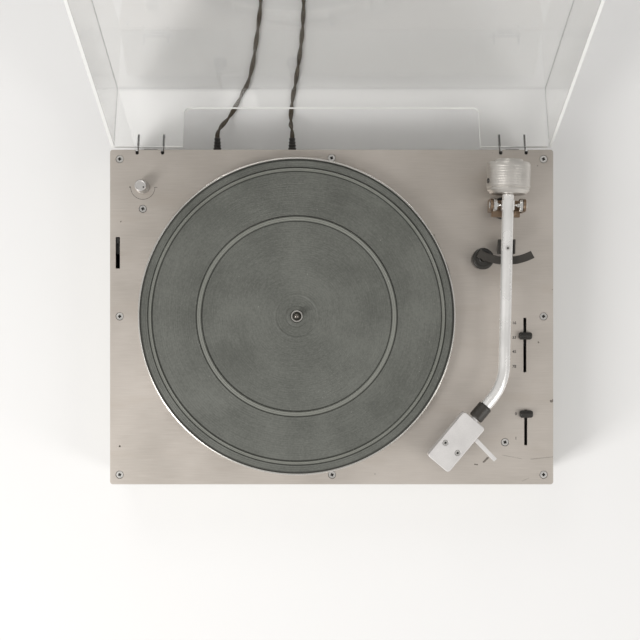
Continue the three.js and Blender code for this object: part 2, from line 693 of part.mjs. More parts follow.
// A ring that holds the wound turns, with a straight tail that leaves its outer turn for the plug.
function coil({ coilX, side, turnsWide }) {
  const halfWound = ((turnsWide - 1) * COIL.pitch) / 2 + CORD_RADIUS;
  const top = (COIL.layers - 1) * COIL.pitch + 2 * CORD_RADIUS;
  const wound = ring(COIL.middle - halfWound, COIL.middle + halfWound, 0, top, 30);
  const outerTurn = COIL.middle + halfWound - CORD_RADIUS;
  const height = top - CORD_RADIUS;
  const tail = new THREE.LineCurve3(point(0, outerTurn, height), point(-side * 23, outerTurn, height));
  return join(wound, bar(tail, CORD_RADIUS, 1, 8)).translate(coilX, COIL.y, 0);
}

function plugPlace({ coilX, side, turnsWide }) {
  const outerTurn = COIL.middle + ((turnsWide - 1) * COIL.pitch) / 2;
  const height = (COIL.layers - 1) * COIL.pitch + CORD_RADIUS;
  return { x: coilX - side * (23 + GAP), y: COIL.y + outerTurn, z: height, turn: side > 0 ? Math.PI : 0 };
}

// A flat two-pin mains plug, drawn with its cord end at the origin and its pins towards +X.
function mainsPlug() {
  const tail = alongX(turned([[0, 0], [2.9, 0], [4.2, 11], [0, 11]], 14));
  const body = extruded(roundedRect([10, -12], [44, 12], 6), -6.8, 6.8, 5);
  const pins = [-9.5, 9.5].map((y) => alongX(disc(2, 43, 62, 12)).translate(0, y, 0));
  return join(tail, body, ...pins);
}

// A round multi-pin audio plug in the same frame: grip, then a metal skirt open to the front.
function audioPlug() {
  const profile = [
    [0, 0], [2.9, 0], [4, 9], [6.6, 12], [6.6, 34], [6.2, 34], [6.2, 44], [5.6, 44], [5.6, 36], [0, 36],
  ];
  return alongX(turned(profile, 14));
}

function cords() {
  const plugs = { mains: mainsPlug, audio: audioPlug };
  for (const cord of CORDS) {
    const { name, exitX, route } = cord;
    deck.add(piece(`${name}_strain_relief`, strainRelief(exitX), "black"));
    const curve = new THREE.CatmullRomCurve3(route.map((p) => point(...p)), false, "centripetal");
    deck.add(piece(`${name}_cord`, bar(curve, CORD_RADIUS, 28, 8), "cord"));
    deck.add(piece(`${name}_coil`, coil(cord), "cord"));
    const plug = piece(`${name}_plug`, plugs[name](), "black");
    const { x, y, z, turn } = plugPlace(cord);
    plug.position.set(x, y, z);
    plug.rotation.z = turn;
    deck.add(plug);
  }
}

casing();
drive();
controls();
tonearm();
restAndLift();
lidAndHinges();
cords();

// The part's origin is on the floor under the middle of the player, lid included, cords left out.
player.updateMatrixWorld(true);
const extent = new THREE.Box3();
player.traverse((child) => {
  const isCord = /_(cord|coil|plug|strain_relief)$/.test(child.name);
  if (child.isMesh && !isCord) extent.expandByObject(child, true);
});
deck.position.y = -(extent.min.y + extent.max.y) / 2;

export default player;
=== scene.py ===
# %% [markdown]
# # A small record player
#
# A flat metal deck carries an idler-driven platter, a bent tonearm and a few slide controls. Its clear lid
# stands open behind it, and two flat twin flexes run out from under the lid to their coils.
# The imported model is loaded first. It fixes every place and size, so this lesson only adds shape detail,
# materials, light and a camera. Lengths are written in millimetres and turned into metres by MM.

# %% Load the frame
import json
import math

import bmesh
import bpy
from mathutils import Matrix, Vector


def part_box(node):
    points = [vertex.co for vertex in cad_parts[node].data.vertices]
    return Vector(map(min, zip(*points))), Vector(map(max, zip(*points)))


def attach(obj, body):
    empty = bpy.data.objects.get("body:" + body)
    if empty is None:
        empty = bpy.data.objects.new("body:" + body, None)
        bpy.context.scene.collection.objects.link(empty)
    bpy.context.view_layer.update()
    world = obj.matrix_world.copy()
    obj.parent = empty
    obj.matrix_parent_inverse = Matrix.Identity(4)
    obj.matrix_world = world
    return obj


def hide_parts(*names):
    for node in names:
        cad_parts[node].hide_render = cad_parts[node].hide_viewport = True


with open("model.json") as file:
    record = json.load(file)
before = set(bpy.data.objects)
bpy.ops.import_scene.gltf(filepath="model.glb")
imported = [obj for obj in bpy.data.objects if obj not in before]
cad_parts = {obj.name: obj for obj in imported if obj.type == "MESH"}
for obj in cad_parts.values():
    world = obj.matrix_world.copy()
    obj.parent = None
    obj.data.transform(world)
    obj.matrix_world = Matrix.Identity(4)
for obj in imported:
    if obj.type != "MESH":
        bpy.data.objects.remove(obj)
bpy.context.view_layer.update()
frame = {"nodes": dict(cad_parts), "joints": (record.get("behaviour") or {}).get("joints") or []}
MM = 0.001

# %% [markdown]
# Most pieces are placed from four points: the middle of the plate's top face, the platter's centre, the
# tonearm's pivot and the lid's hinge. The first two come from node boxes and the others from the joints.

# %% Places that the rest is measured from
def centre_of(node):
    low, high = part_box(node)
    return (low + high) / 2


plate_low, plate_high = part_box("top_plate")
DECK, PLATTER = centre_of("top_plate"), centre_of("platter")
DECK.z = PLATTER.z = plate_high.z
joints = {joint["name"]: joint for joint in frame["joints"]}
PIVOT, HINGE = Vector(joints["arm_raise"]["pos_m"]), Vector(joints["lid_hinge"]["pos_m"])


def on_deck(x, y, z=0.0):
    """A point in millimetres from the middle of the plate's top face, in the frame's metres."""
    return DECK + Vector((x, y, z)) * MM


print("deck", DECK, "platter", PLATTER, "pivot", PIVOT)

# %% [markdown]
# The player is looked at from straight above, a little over a metre up. The lens is worked out from the
# width that the picture shows at the height of the plate, so the proportions hold.

# %% Camera
CAMERA_HEIGHT = 1.150
VIEW_WIDTH = 0.5776
SENSOR = 36.0

camera_data = bpy.data.cameras.new("camera")
camera_data.sensor_width = SENSOR
camera_data.lens = SENSOR * CAMERA_HEIGHT / VIEW_WIDTH
camera = bpy.data.objects.new("camera", camera_data)
bpy.context.scene.collection.objects.link(camera)
camera.location = on_deck(-10.5, -2.7, CAMERA_HEIGHT / MM)
bpy.context.scene.camera = camera
print("lens", round(camera_data.lens, 2))

# %% [markdown]
# A pale floor, an even pale surround and three soft panels light the player. The largest stands at the front
# left, so the satin plate is brightest at that corner, and a weaker one at the right fills the shadows.

# %% Floor and light
FLOOR_COLOUR = (0.83, 0.825, 0.82, 1)


def linked(name, data):
    thing = bpy.data.objects.new(name, data)
    bpy.context.scene.collection.objects.link(thing)
    return thing


def soft_panel(name, place, target, width, length, power, colour=(1, 0.99, 0.98)):
    light = bpy.data.lights.new(name, "AREA")
    light.shape = "RECTANGLE"
    light.size, light.size_y = width, length
    light.energy = power
    light.color = colour
    lamp = linked(name, light)
    lamp.location = place
    lamp.rotation_euler = (Vector(target) - Vector(place)).to_track_quat("-Z", "Y").to_euler()


def pale_floor(half=4.0):
    mesh = bpy.data.meshes.new("floor")
    corners = [(-half, -half, 0), (half, -half, 0), (half, half, 0), (-half, half, 0)]
    mesh.from_pydata(corners, [], [(0, 1, 2, 3)])
    floor = linked("floor", mesh)
    material = bpy.data.materials.new("pale_floor")
    material.use_nodes = True
    shader = material.node_tree.nodes["Principled BSDF"]
    shader.inputs["Base Color"].default_value = FLOOR_COLOUR
    shader.inputs["Roughness"].default_value = 0.7
    mesh.materials.append(material)


pale_floor()
soft_panel("left_panel", (-1.15, -0.95, 1.25), (0, -0.1, 0.05), 0.5, 1.3, 21.5)
soft_panel("right_panel", (1.2, -0.8, 1.1), (0, -0.1, 0.05), 0.45, 1.5, 7.5)
soft_panel("back_panel", (-0.5, 1.3, 1.6), (0, 0, 0.05), 0.9, 0.9, 4)
world = bpy.data.worlds.new("studio")
world.use_nodes = True
world.node_tree.nodes["Background"].inputs["Color"].default_value = (0.97, 0.96, 0.94, 1)
world.node_tree.nodes["Background"].inputs["Strength"].default_value = 0.55
bpy.context.scene.world = world
bpy.context.scene.view_settings.view_transform = "Standard"

# %% [markdown]
# ## Helpers for shapes
#
# Turned pieces are made by turning a profile, flat pieces by filling outlines, and rods and wires by carrying
# a round section along a path. Each helper gives a mesh with closed ends, and each finished piece's
# object stays at the origin, with its place in its mesh.


# %% From a bmesh to a finished piece
def as_mesh(shape, name="loose"):
    """A mesh made of a bmesh, which is freed."""
    mesh = bpy.data.meshes.new(name)
    shape.to_mesh(mesh)
    shape.free()
    return mesh


def as_shape(mesh):
    """A bmesh made of a mesh, which is removed."""
    shape = bmesh.new()
    shape.from_mesh(mesh)
    bpy.data.meshes.remove(mesh)
    return shape


def evaluated_mesh(holder):
    """The holder's mesh with its modifiers applied. The holder itself is removed."""
    done = bpy.data.meshes.new_from_object(holder.evaluated_get(bpy.context.evaluated_depsgraph_get()))
    bpy.data.objects.remove(holder)
    return done


def finished(name, shape, *finish):
    """Makes an object of a bmesh, shades it, gives it its finish and sets it on its CAD body."""
    return finished_mesh(name, as_mesh(shape, name), *finish)


def finished_mesh(name, mesh, body, material, slot, replaced=(), smooth_angle=35):
    """Large faces decide the normals at their corners, so flat tops stay flat beside rounded edges."""
    mesh.shade_smooth()
    mesh.set_sharp_from_angle(angle=math.radians(smooth_angle))
    holder = linked("holder", mesh)
    holder.modifiers.new("even_shading", "WEIGHTED_NORMAL").keep_sharp = True
    mesh = evaluated_mesh(holder)
    mesh.name = name
    if material is not None:
        mesh.materials.clear()
        mesh.materials.append(material)
    part = linked(name, mesh)
    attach(part, body)
    if replaced:
        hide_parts(*([replaced] if isinstance(replaced, str) else replaced))
    return part


def joined(*shapes):
    """Several bmeshes as one."""
    whole = bmesh.new()
    for shape in shapes:
        mesh = as_mesh(shape)
        whole.from_mesh(mesh)
        bpy.data.meshes.remove(mesh)
    return whole


def outward(shape, gap=1e-6):
    bmesh.ops.remove_doubles(shape, verts=shape.verts, dist=gap)
    bmesh.ops.recalc_face_normals(shape, faces=shape.faces)
    return shape


def placed(shape, matrix):
    bmesh.ops.transform(shape, matrix=matrix, verts=shape.verts)
    return shape


def moved(shape, place, spin=0.0):
    """Turns a bmesh about Z by degrees and moves it from the origin to its place."""
    return placed(shape, Matrix.Translation(Vector(place)) @ Matrix.Rotation(math.radians(spin), 4, "Z"))


def walls(shape, rows):
    """Faces between each ring of corners and the next. A ring of one corner is a tip."""
    count = max(len(row) for row in rows)
    for low, high in zip(rows, rows[1:]):
        for i in range(count):
            j = (i + 1) % count
            corners = [low[i % len(low)], low[j % len(low)], high[j % len(high)], high[i % len(high)]]
            corners = list(dict.fromkeys(corners))
            if len(corners) > 2:
                shape.faces.new(corners)


# %% Turned pieces
def round_section(radius, sides=16):
    turns = [2 * math.pi * i / sides for i in range(sides)]
    return [(radius * MM * math.cos(t), radius * MM * math.sin(t)) for t in turns]


def turned(profile, sides=96, place=(0, 0, 0), axis=(0, 0, 1)):
    """Turns a profile of [radius, height] points in millimetres about an axis through a place in metres.
    The profile starts and ends on the axis, or closes on itself."""
    shape = bmesh.new()
    rows = []
    for radius, height in profile:
        ring = round_section(radius, sides) if radius > 1e-6 else [(0, 0)]
        rows.append([shape.verts.new((x, y, height * MM)) for x, y in ring])
    walls(shape, rows)
    turn = Vector((0, 0, 1)).rotation_difference(Vector(axis)).to_matrix().to_4x4()
    return placed(outward(shape), Matrix.Translation(Vector(place)) @ turn)


def rounded(profile, radius, steps=4):
    """The same profile with each inner corner cut by a small arc of the given radius."""
    soft = [profile[0]]
    for before, corner, after in zip(profile, profile[1:], profile[2:]):
        corner_at = Vector(corner)
        back, forth = Vector(before) - corner_at, Vector(after) - corner_at
        reach = min(radius, back.length / 2, forth.length / 2)
        if reach < 1e-5 or abs(back.normalized().dot(forth.normalized())) > 0.995:
            soft.append(corner)
            continue
        start, end = corner_at + back.normalized() * reach, corner_at + forth.normalized() * reach
        for i in range(steps + 1):
            t = i / steps
            at = start * (1 - t) ** 2 + corner_at * 2 * t * (1 - t) + end * t * t
            soft.append((max(at.x, 0.0), at.y))
    soft.append(profile[-1])
    return soft


# %% Flat pieces from outlines
def arc(x, y, radius, start, end, steps=12):
    """Points of an arc about (x, y), with its angles in degrees."""
    angles = [math.radians(start + (end - start) * i / steps) for i in range(steps + 1)]
    return [(x + radius * math.cos(a), y + radius * math.sin(a)) for a in angles]


def circle(x, y, radius, steps=48):
    return arc(x, y, radius, 0, 360 - 360 / steps, steps - 1)


def round_box(x0, y0, x1, y1, radius, steps=8):
    left, right, low, high = x0 + radius, x1 - radius, y0 + radius, y1 - radius
    corners = [(right, low), (right, high), (left, high), (left, low)]
    return [p for i, at in enumerate(corners) for p in arc(*at, radius, 90 * i - 90, 90 * i, steps)]


def flat(outlines, low, high, bevel=0.0, bevel_steps=2):
    """Fills outlines in millimetres, the first one round the others, from one height to another."""
    curve = bpy.data.curves.new("outline", "CURVE")
    curve.dimensions = "2D"
    curve.fill_mode = "BOTH"
    curve.extrude = max((high - low) / 2 - bevel, 0) * MM
    curve.bevel_depth = bevel * MM
    curve.bevel_resolution = bevel_steps
    curve.offset = -bevel * MM
    for points in outlines:
        spline = curve.splines.new("POLY")
        spline.points.add(len(points) - 1)
        spline.use_cyclic_u = True
        for at, (x, y) in zip(spline.points, points):
            at.co = (x * MM, y * MM, 0, 1)
    shape = as_shape(evaluated_mesh(linked("outline", curve)))
    bpy.data.curves.remove(curve)
    bmesh.ops.translate(shape, vec=(0, 0, (low + high) / 2 * MM), verts=shape.verts)
    return outward(shape)


# %% Rods along a path
def along(path, section, twist=None, size=None):
    """Carries a section, a list of (across, up) points in metres, along a path without turning it over."""
    shape = bmesh.new()
    rings = []
    up = Vector((0, 0, 1))
    for i, at in enumerate(path):
        ahead = (path[min(i + 1, len(path) - 1)] - path[max(i - 1, 0)]).normalized()
        across = ahead.cross(up)
        across = across.normalized() if across.length > 1e-4 else Vector((1, 0, 0))
        up = across.cross(ahead).normalized()
        turn = twist(i) if twist else 0.0
        scale = size(i) if size else 1.0
        cos, sin = scale * math.cos(turn), scale * math.sin(turn)
        rings.append([
            shape.verts.new(at + across * (a * cos - b * sin) + up * (a * sin + b * cos)) for a, b in section
        ])
    walls(shape, rings)
    shape.faces.new(rings[0][::-1])
    shape.faces.new(rings[-1])
    bmesh.ops.recalc_face_normals(shape, faces=shape.faces)
    return shape


def mix(a, b, start, end, t):
    """The point at time t on the straight line that leaves a at the start and meets b at the end."""
    return a * ((end - t) / (end - start)) + b * ((t - start) / (end - start))


def smooth_path(points, per_span=8):
    """A curve through the given points: a centripetal spline, as the CAD routes use."""
    points = [Vector(p) for p in points]
    knots = [points[0] * 2 - points[1], *points, points[-1] * 2 - points[-2]]
    path = []
    for p0, p1, p2, p3 in zip(knots, knots[1:], knots[2:], knots[3:]):
        t0 = 0.0
        t1 = t0 + max((p1 - p0).length, 1e-9) ** 0.5
        t2 = t1 + max((p2 - p1).length, 1e-9) ** 0.5
        t3 = t2 + max((p3 - p2).length, 1e-9) ** 0.5
        for i in range(per_span):
            t = t1 + (t2 - t1) * i / per_span
            a1, a2, a3 = mix(p0, p1, t0, t1, t), mix(p1, p2, t1, t2, t), mix(p2, p3, t2, t3, t)
            b1, b2 = mix(a1, a2, t0, t2, t), mix(a2, a3, t1, t3, t)
            path.append(mix(b1, b2, t1, t2, t))
    path.append(points[-1])
    return path


def path_length(path):
    return sum((b - a).length for a, b in zip(path, path[1:]))


# %% A CAD node refined
def refined(name, node, body, material, slot, bevel=0.3, steps=2):
    """Copies a node, merges its loose triangles, dissolves what lies flat and rounds its sharp edges."""
    shape = bmesh.new()
    shape.from_mesh(frame["nodes"][node].data)
    bmesh.ops.remove_doubles(shape, verts=shape.verts, dist=2e-6)
    bmesh.ops.dissolve_limit(
        shape, angle_limit=math.radians(1), verts=shape.verts, edges=shape.edges, delimit={"NORMAL"},
    )
    holder = linked("holder", as_mesh(shape, name))
    if bevel:
        soft = holder.modifiers.new("soft_edges", "BEVEL")
        soft.width = bevel * MM
        soft.segments = steps
        soft.limit_method = "ANGLE"
        soft.angle_limit = math.radians(50)
    return finished_mesh(name, evaluated_mesh(holder), body, material, slot, node, 30)


print("shape helpers ready")

# %% [markdown]
# ## Shared surface effects
#
# Five effects turn up on several finishes: a stretched grain, a smear that follows a turned face, edges for
# wear and a painted highlight, specks of dust or dirt, and a single short mark. Each is a node group that
# puts out a mask or a value, so every material can use it with its own sizes, while the shader itself stays
# in the material.


# %% Node helpers
def add_node(tree, kind, inputs=None, **settings):
    """Adds a node. An input is given a plain value, or is linked when it is given a socket."""
    made = tree.nodes.new(kind)
    for key, value in settings.items():
        setattr(made, key, value)
    for key, value in (inputs or {}).items():
        if isinstance(value, bpy.types.NodeSocket):
            tree.links.new(value, made.inputs[key])
        else:
            made.inputs[key].default_value = value
    return made


def node(tree, kind, inputs=None, **settings):
    return add_node(tree, "ShaderNode" + kind, inputs, **settings)


def calc(tree, operation, a, b=0.0, clamp=False):
    return node(tree, "Math", {0: a, 1: b}, operation=operation, use_clamp=clamp).outputs[0]


def vector_calc(tree, operation, a, b=(0, 0, 0)):
    made = node(tree, "VectorMath", {0: a, 1: b}, operation=operation)
    return made.outputs["Value" if operation in ("LENGTH", "DOT_PRODUCT") else "Vector"]


def ramp(tree, value, low, high, to_low=0.0, to_high=1.0):
    """Spreads a value between two limits over another range, smoothly."""
    limits = {"Value": value, "From Min": low, "From Max": high, "To Min": to_low, "To Max": to_high}
    return node(tree, "MapRange", limits, interpolation_type="SMOOTHSTEP").outputs["Result"]


def blended(tree, share, first, second):
    """Two colours mixed. Each is a socket or three numbers."""
    first, second = [(*c, 1) if isinstance(c, tuple) else c for c in (first, second)]
    return node(tree, "Mix", {0: share, 6: first, 7: second}, data_type="RGBA").outputs[2]


def scaled(tree, vector, scale):
    return node(tree, "VectorMath", {0: vector, "Scale": scale}, operation="SCALE").outputs["Vector"]


def noise(tree, vector, scale, detail=2.0):
    return node(tree, "TexNoise", {"Vector": vector, "Scale": scale, "Detail": detail}).outputs["Fac"]


def node_group(name, inputs, outputs, family="Shader", kind="Float"):
    """An empty node group with named inputs and outputs, and its start and end sockets."""
    tree = bpy.data.node_groups.new(name, family + "NodeTree")
    for label, input_kind, default in inputs:
        socket = tree.interface.new_socket(label, in_out="INPUT", socket_type="NodeSocket" + input_kind)
        if default is not None:
            socket.default_value = default
    for label in outputs:
        tree.interface.new_socket(label, in_out="OUTPUT", socket_type="NodeSocket" + kind)
    return tree, tree.nodes.new("NodeGroupInput").outputs, tree.nodes.new("NodeGroupOutput").inputs


def effect_group(name, outputs, *inputs):
    return node_group(name, [("Vector", "Vector", None), *inputs], outputs)


# %% Grain: noise that can be stretched along one direction
grain_tree, given, result = effect_group(
    "grain", ["Value"], ("Stretch", "Vector", (1, 1, 1)), ("Scale", "Float", 100.0),
)
stretched = vector_calc(grain_tree, "MULTIPLY", given["Vector"], given["Stretch"])
grain_tree.links.new(noise(grain_tree, stretched, given["Scale"], 5.0), result["Value"])

# %% Swirl: noise smeared round an axis along Z, with fine rings
swirl_tree, given, result = effect_group(
    "swirl", ["Value", "Lines"],
    ("Smear", "Float", 2.0), ("Rings", "Float", 400.0), ("Pitch", "Float", 0.0012),
)
across = vector_calc(swirl_tree, "MULTIPLY", given["Vector"], (1, 1, 0))
reach = vector_calc(swirl_tree, "LENGTH", across)
smear = scaled(swirl_tree, vector_calc(swirl_tree, "NORMALIZE", across), given["Smear"])
lift = node(swirl_tree, "CombineXYZ", {"Z": calc(swirl_tree, "MULTIPLY", reach, given["Rings"])})
where = vector_calc(swirl_tree, "ADD", smear, lift.outputs[0])
swirl_tree.links.new(noise(swirl_tree, where, 1.0, 4.0), result["Value"])
phase = calc(swirl_tree, "MULTIPLY", calc(swirl_tree, "DIVIDE", reach, given["Pitch"]), 2 * math.pi)
wave = calc(swirl_tree, "SINE", phase)
swirl_tree.links.new(calc(swirl_tree, "MULTIPLY_ADD", wave, 0.5), result["Lines"])

# %% Edge wear and painted highlight: where the rounded normal leaves the true one, broken up by noise
edge_tree, given, result = effect_group(
    "edge_wear_and_sheen", ["Mask"], ("Radius", "Float", 0.0006), ("Breakup", "Float", 300.0),
)
soft_normal = node(edge_tree, "Bevel", {"Radius": given["Radius"]}, samples=6).outputs[0]
hard_normal = node(edge_tree, "NewGeometry").outputs["True Normal"]
closeness = vector_calc(edge_tree, "DOT_PRODUCT", soft_normal, hard_normal)
patches = ramp(edge_tree, noise(edge_tree, given["Vector"], given["Breakup"], 3.0), 0.35, 0.7)
broken = calc(edge_tree, "MULTIPLY", calc(edge_tree, "SUBTRACT", 1.0, closeness), patches)
edge_tree.links.new(ramp(edge_tree, broken, 0.03, 0.2), result["Mask"])

# %% Specks: scattered dots of uneven size
speck_tree, given, result = effect_group(
    "specks", ["Mask"], ("Scale", "Float", 200.0), ("Size", "Float", 0.1),
)
cells = node(speck_tree, "TexVoronoi", {"Vector": given["Vector"], "Scale": given["Scale"]})
luck = node(speck_tree, "SeparateColor", {"Color": cells.outputs["Color"]}).outputs[0]
size = calc(speck_tree, "MULTIPLY", calc(speck_tree, "POWER", luck, 6.0), given["Size"])
inside = calc(speck_tree, "SUBTRACT", size, cells.outputs["Distance"])
speck_tree.links.new(ramp(speck_tree, inside, 0.0, 0.03), result["Mask"])

# %% Short mark: one line between two points, seen from above
mark_tree, given, result = effect_group(
    "short_mark", ["Mask"],
    ("From", "Vector", (0, 0, 0)), ("To", "Vector", (0, 0, 0)), ("Width", "Float", 0.001),
)
flat_at, start, end = [
    vector_calc(mark_tree, "MULTIPLY", given[label], (1, 1, 0)) for label in ("Vector", "From", "To")
]
line = vector_calc(mark_tree, "SUBTRACT", end, start)
to_point = vector_calc(mark_tree, "SUBTRACT", flat_at, start)
share = calc(mark_tree, "DIVIDE", vector_calc(mark_tree, "DOT_PRODUCT", to_point, line),
             vector_calc(mark_tree, "DOT_PRODUCT", line, line), clamp=True)
nearest = scaled(mark_tree, line, share)
distance = vector_calc(mark_tree, "LENGTH", vector_calc(mark_tree, "SUBTRACT", to_point, nearest))
uneven = calc(mark_tree, "MULTIPLY", noise(mark_tree, given["Vector"], 900.0), given["Width"])
inside = calc(mark_tree, "SUBTRACT", uneven, distance)
mark_tree.links.new(ramp(mark_tree, inside, 0.0, 0.0003), result["Mask"])
print("effects:", [tree.name for tree in bpy.data.node_groups])


# %% Using the effects in a material
def material(name, colour, roughness=0.5, metallic=0.0, **more):
    """A new material, its tree, its shader and its object coordinates."""
    made = bpy.data.materials.new(name)
    made.use_nodes = True
    tree = made.node_tree
    shader = tree.nodes["Principled BSDF"]
    shader.inputs["Base Color"].default_value = (*colour, 1)
    shader.inputs["Roughness"].default_value = roughness
    shader.inputs["Metallic"].default_value = metallic
    for key, value in more.items():
        shader.inputs[key.replace("_", " ")].default_value = value
    made.diffuse_color = (*colour, 1)
    return made, tree, shader, node(tree, "TexCoord").outputs["Object"]


def effect(tree, group_tree, vector, **values):
    made = tree.nodes.new("ShaderNodeGroup")
    made.node_tree = group_tree
    tree.links.new(vector, made.inputs["Vector"])
    for key, value in values.items():
        made.inputs[key].default_value = value
    return made.outputs


def grain(tree, at, scale, stretch=(1, 1, 1)):
    return effect(tree, grain_tree, at, Stretch=stretch, Scale=scale)["Value"]


def specks(tree, at, scale, size):
    return effect(tree, speck_tree, at, Scale=scale, Size=size)["Mask"]


def paint(tree, shader, socket, value):
    tree.links.new(value, shader.inputs[socket])


def bump(tree, shader, height, strength, depth=0.0002):
    made = node(tree, "Bump", {"Height": height, "Strength": strength, "Distance": depth})
    tree.links.new(made.outputs[0], shader.inputs["Normal"])


# %% [markdown]
# ## Finishes
#
# The deck is satin, faintly brushed aluminium that has gone warm with age. It carries smudges, tiny specks
# and a few real marks near the head's rest place: a nick in the right edge and two thin smears.

# %% Plate finish
PLATE_MARKS = [
    ((140.7, -127.1), (137.4, -130.6), 2.0), ((129.1, -133.0), (131.3, -133.2), 1.5),
    ((198.0, -76.0), (200.0, -75.2), 2.4), ((179.9, -128.3), (199.5, -126.2), 1.1),
    ((154.0, -124.6), (171.0, -127.8), 0.9), ((186.6, -22.7), (186.9, -22.9), 1.6),
    ((-190.4, 86.0), (-190.2, 86.3), 1.3), ((172.0, -148.0), (178.0, -145.4), 0.8),
]


def plate_finish():
    made, tree, shader, at = material("warm_satin_aluminium", (0.40, 0.36, 0.31), 0.42, 0.85)
    brushed = grain(tree, at, 1500.0, (0.03, 1, 1))
    cloud = grain(tree, at, 9.0, (1, 1.3, 1))
    handled = grain(tree, at, 60.0, (0.25, 1, 1))
    tone = calc(tree, "ADD", calc(tree, "MULTIPLY", brushed, 0.35), calc(tree, "MULTIPLY", cloud, 0.7))
    colour = blended(tree, ramp(tree, tone, 0.30, 0.75), (0.465, 0.423, 0.378), (0.575, 0.528, 0.482))
    colour = blended(tree, ramp(tree, handled, 0.52, 0.72, 0.0, 0.35), colour, (0.48, 0.425, 0.37))
    marks = calc(tree, "MULTIPLY", specks(tree, at, 75.0, 0.09), 0.55)
    for start, end, width in PLATE_MARKS:
        mark = effect(tree, mark_tree, at, From=on_deck(*start), To=on_deck(*end), Width=width * MM)["Mask"]
        marks = calc(tree, "MAXIMUM", marks, calc(tree, "MULTIPLY", mark, 0.8 if width > 1.2 else 0.35))
    paint(tree, shader, "Base Color", blended(tree, marks, colour, (0.07, 0.055, 0.04)))
    paint(tree, shader, "Metallic", ramp(tree, marks, 0.0, 1.0, 0.85, 0.1))
    rough = calc(tree, "ADD", ramp(tree, cloud, 0.3, 0.7, 0.34, 0.46), calc(tree, "MULTIPLY", brushed, 0.08))
    paint(tree, shader, "Roughness", rough)
    bump(tree, shader, brushed, 0.08, 0.00006)
    return made


PLATE = plate_finish()

# %% [markdown]
# Bright metals come next. Turned faces carry rings round their axis, rods are plain satin, and the head
# is a lighter, finely blasted silver whose edges carry a painted highlight.


# %% Metal finishes
def darker(colour, share):
    return tuple(c * share for c in colour)


def turned_metal(name, colour, place, roughness=0.28, pitch=0.0006):
    made, tree, shader, at = material(name, colour, roughness, 1.0)
    centre = vector_calc(tree, "SUBTRACT", at, tuple(place))
    swirl = effect(tree, swirl_tree, centre, Smear=3.0, Rings=2600.0, Pitch=pitch)
    paint(tree, shader, "Base Color", blended(tree, swirl["Value"], darker(colour, 0.75), colour))
    paint(tree, shader, "Roughness", ramp(tree, swirl["Value"], 0.3, 0.7, roughness - 0.06, roughness + 0.1))
    bump(tree, shader, swirl["Lines"], 0.12, 0.00005)
    return made


def satin_metal(name, colour, roughness, stretch=(1, 1, 1), scale=700.0, wear_and_sheen=0.0, metallic=1.0):
    made, tree, shader, at = material(name, colour, roughness, metallic)
    fine, cloud = grain(tree, at, scale, stretch), grain(tree, at, 45.0)
    tone = blended(tree, ramp(tree, calc(tree, "ADD", fine, cloud), 0.8, 1.25), darker(colour, 0.9), colour)
    # Edges are blended towards near white: a painted highlight along the head's bevels, and edge wear on the
    # bronze yoke.
    if wear_and_sheen:
        edges = effect(tree, edge_tree, at, Radius=0.0007, Breakup=420.0)["Mask"]
        tone = blended(tree, calc(tree, "MULTIPLY", edges, wear_and_sheen), tone, (0.93, 0.92, 0.9))
    dirt = calc(tree, "MULTIPLY", specks(tree, at, 160.0, 0.07), 0.5)
    paint(tree, shader, "Base Color", blended(tree, dirt, tone, (0.1, 0.08, 0.06)))
    paint(tree, shader, "Roughness", ramp(tree, cloud, 0.3, 0.7, roughness - 0.05, roughness + 0.07))
    bump(tree, shader, fine, 0.05, 0.00004)
    return made


RIM = turned_metal("turned_rim", (0.80, 0.775, 0.73), PLATTER, 0.26, 0.0005)
SATIN = satin_metal("satin_tube", (0.87, 0.855, 0.835), 0.24, stretch=(1, 0.2, 1), scale=90.0, metallic=0.55)
HEAD_SILVER = satin_metal("blasted_silver", (0.70, 0.68, 0.665), 0.46, scale=2200.0, wear_and_sheen=0.9, metallic=0.5)
WEIGHT_SILVER = satin_metal("turned_weight", (0.66, 0.63, 0.59), 0.42, stretch=(0.01, 1, 0.01), scale=1400.0)
KNOB_SILVER = turned_metal("turned_knob", (0.66, 0.64, 0.62), centre_of("fine_speed_knob"), 0.42, 0.0004)
SCREW_STEEL = satin_metal("screw_steel", (0.74, 0.72, 0.69), 0.3, scale=500.0)
# Near black for the screws' cross recesses: painted shade inside each recess.
RECESS_SHADE = satin_metal("recess_painted_shade", (0.03, 0.027, 0.023), 0.7, scale=900.0, metallic=0.0)
BLACKENED = satin_metal("blackened_steel", (0.035, 0.033, 0.031), 0.5, scale=600.0, metallic=0.6)
ZINC = satin_metal("zinc_sheet", (0.46, 0.46, 0.45), 0.42, scale=120.0)
DARK_WIRE = satin_metal("dark_wire", (0.20, 0.19, 0.18), 0.35, scale=1200.0)
CHROME = satin_metal("polished_chrome", (0.82, 0.81, 0.79), 0.12, scale=300.0)
# The chrome spindle gets a dark base colour: a painted dark reflection.
SPINDLE_DARK_REFLECTION = satin_metal("spindle_painted_reflection", (0.22, 0.20, 0.18), 0.14, scale=300.0)
BRASS = turned_metal("turned_brass", (0.62, 0.45, 0.2), PLATTER, 0.3, 0.0005)
BRONZE = satin_metal("dark_bronze", (0.30, 0.215, 0.15), 0.36, scale=500.0, wear_and_sheen=0.5)

# %% [markdown]
# The mat is old rubber: grey green, matt, with a bloom that the record and the cleaning cloth have smeared
# round the middle. Dust lies on it in small pale specks. The platter's place centres the smear.


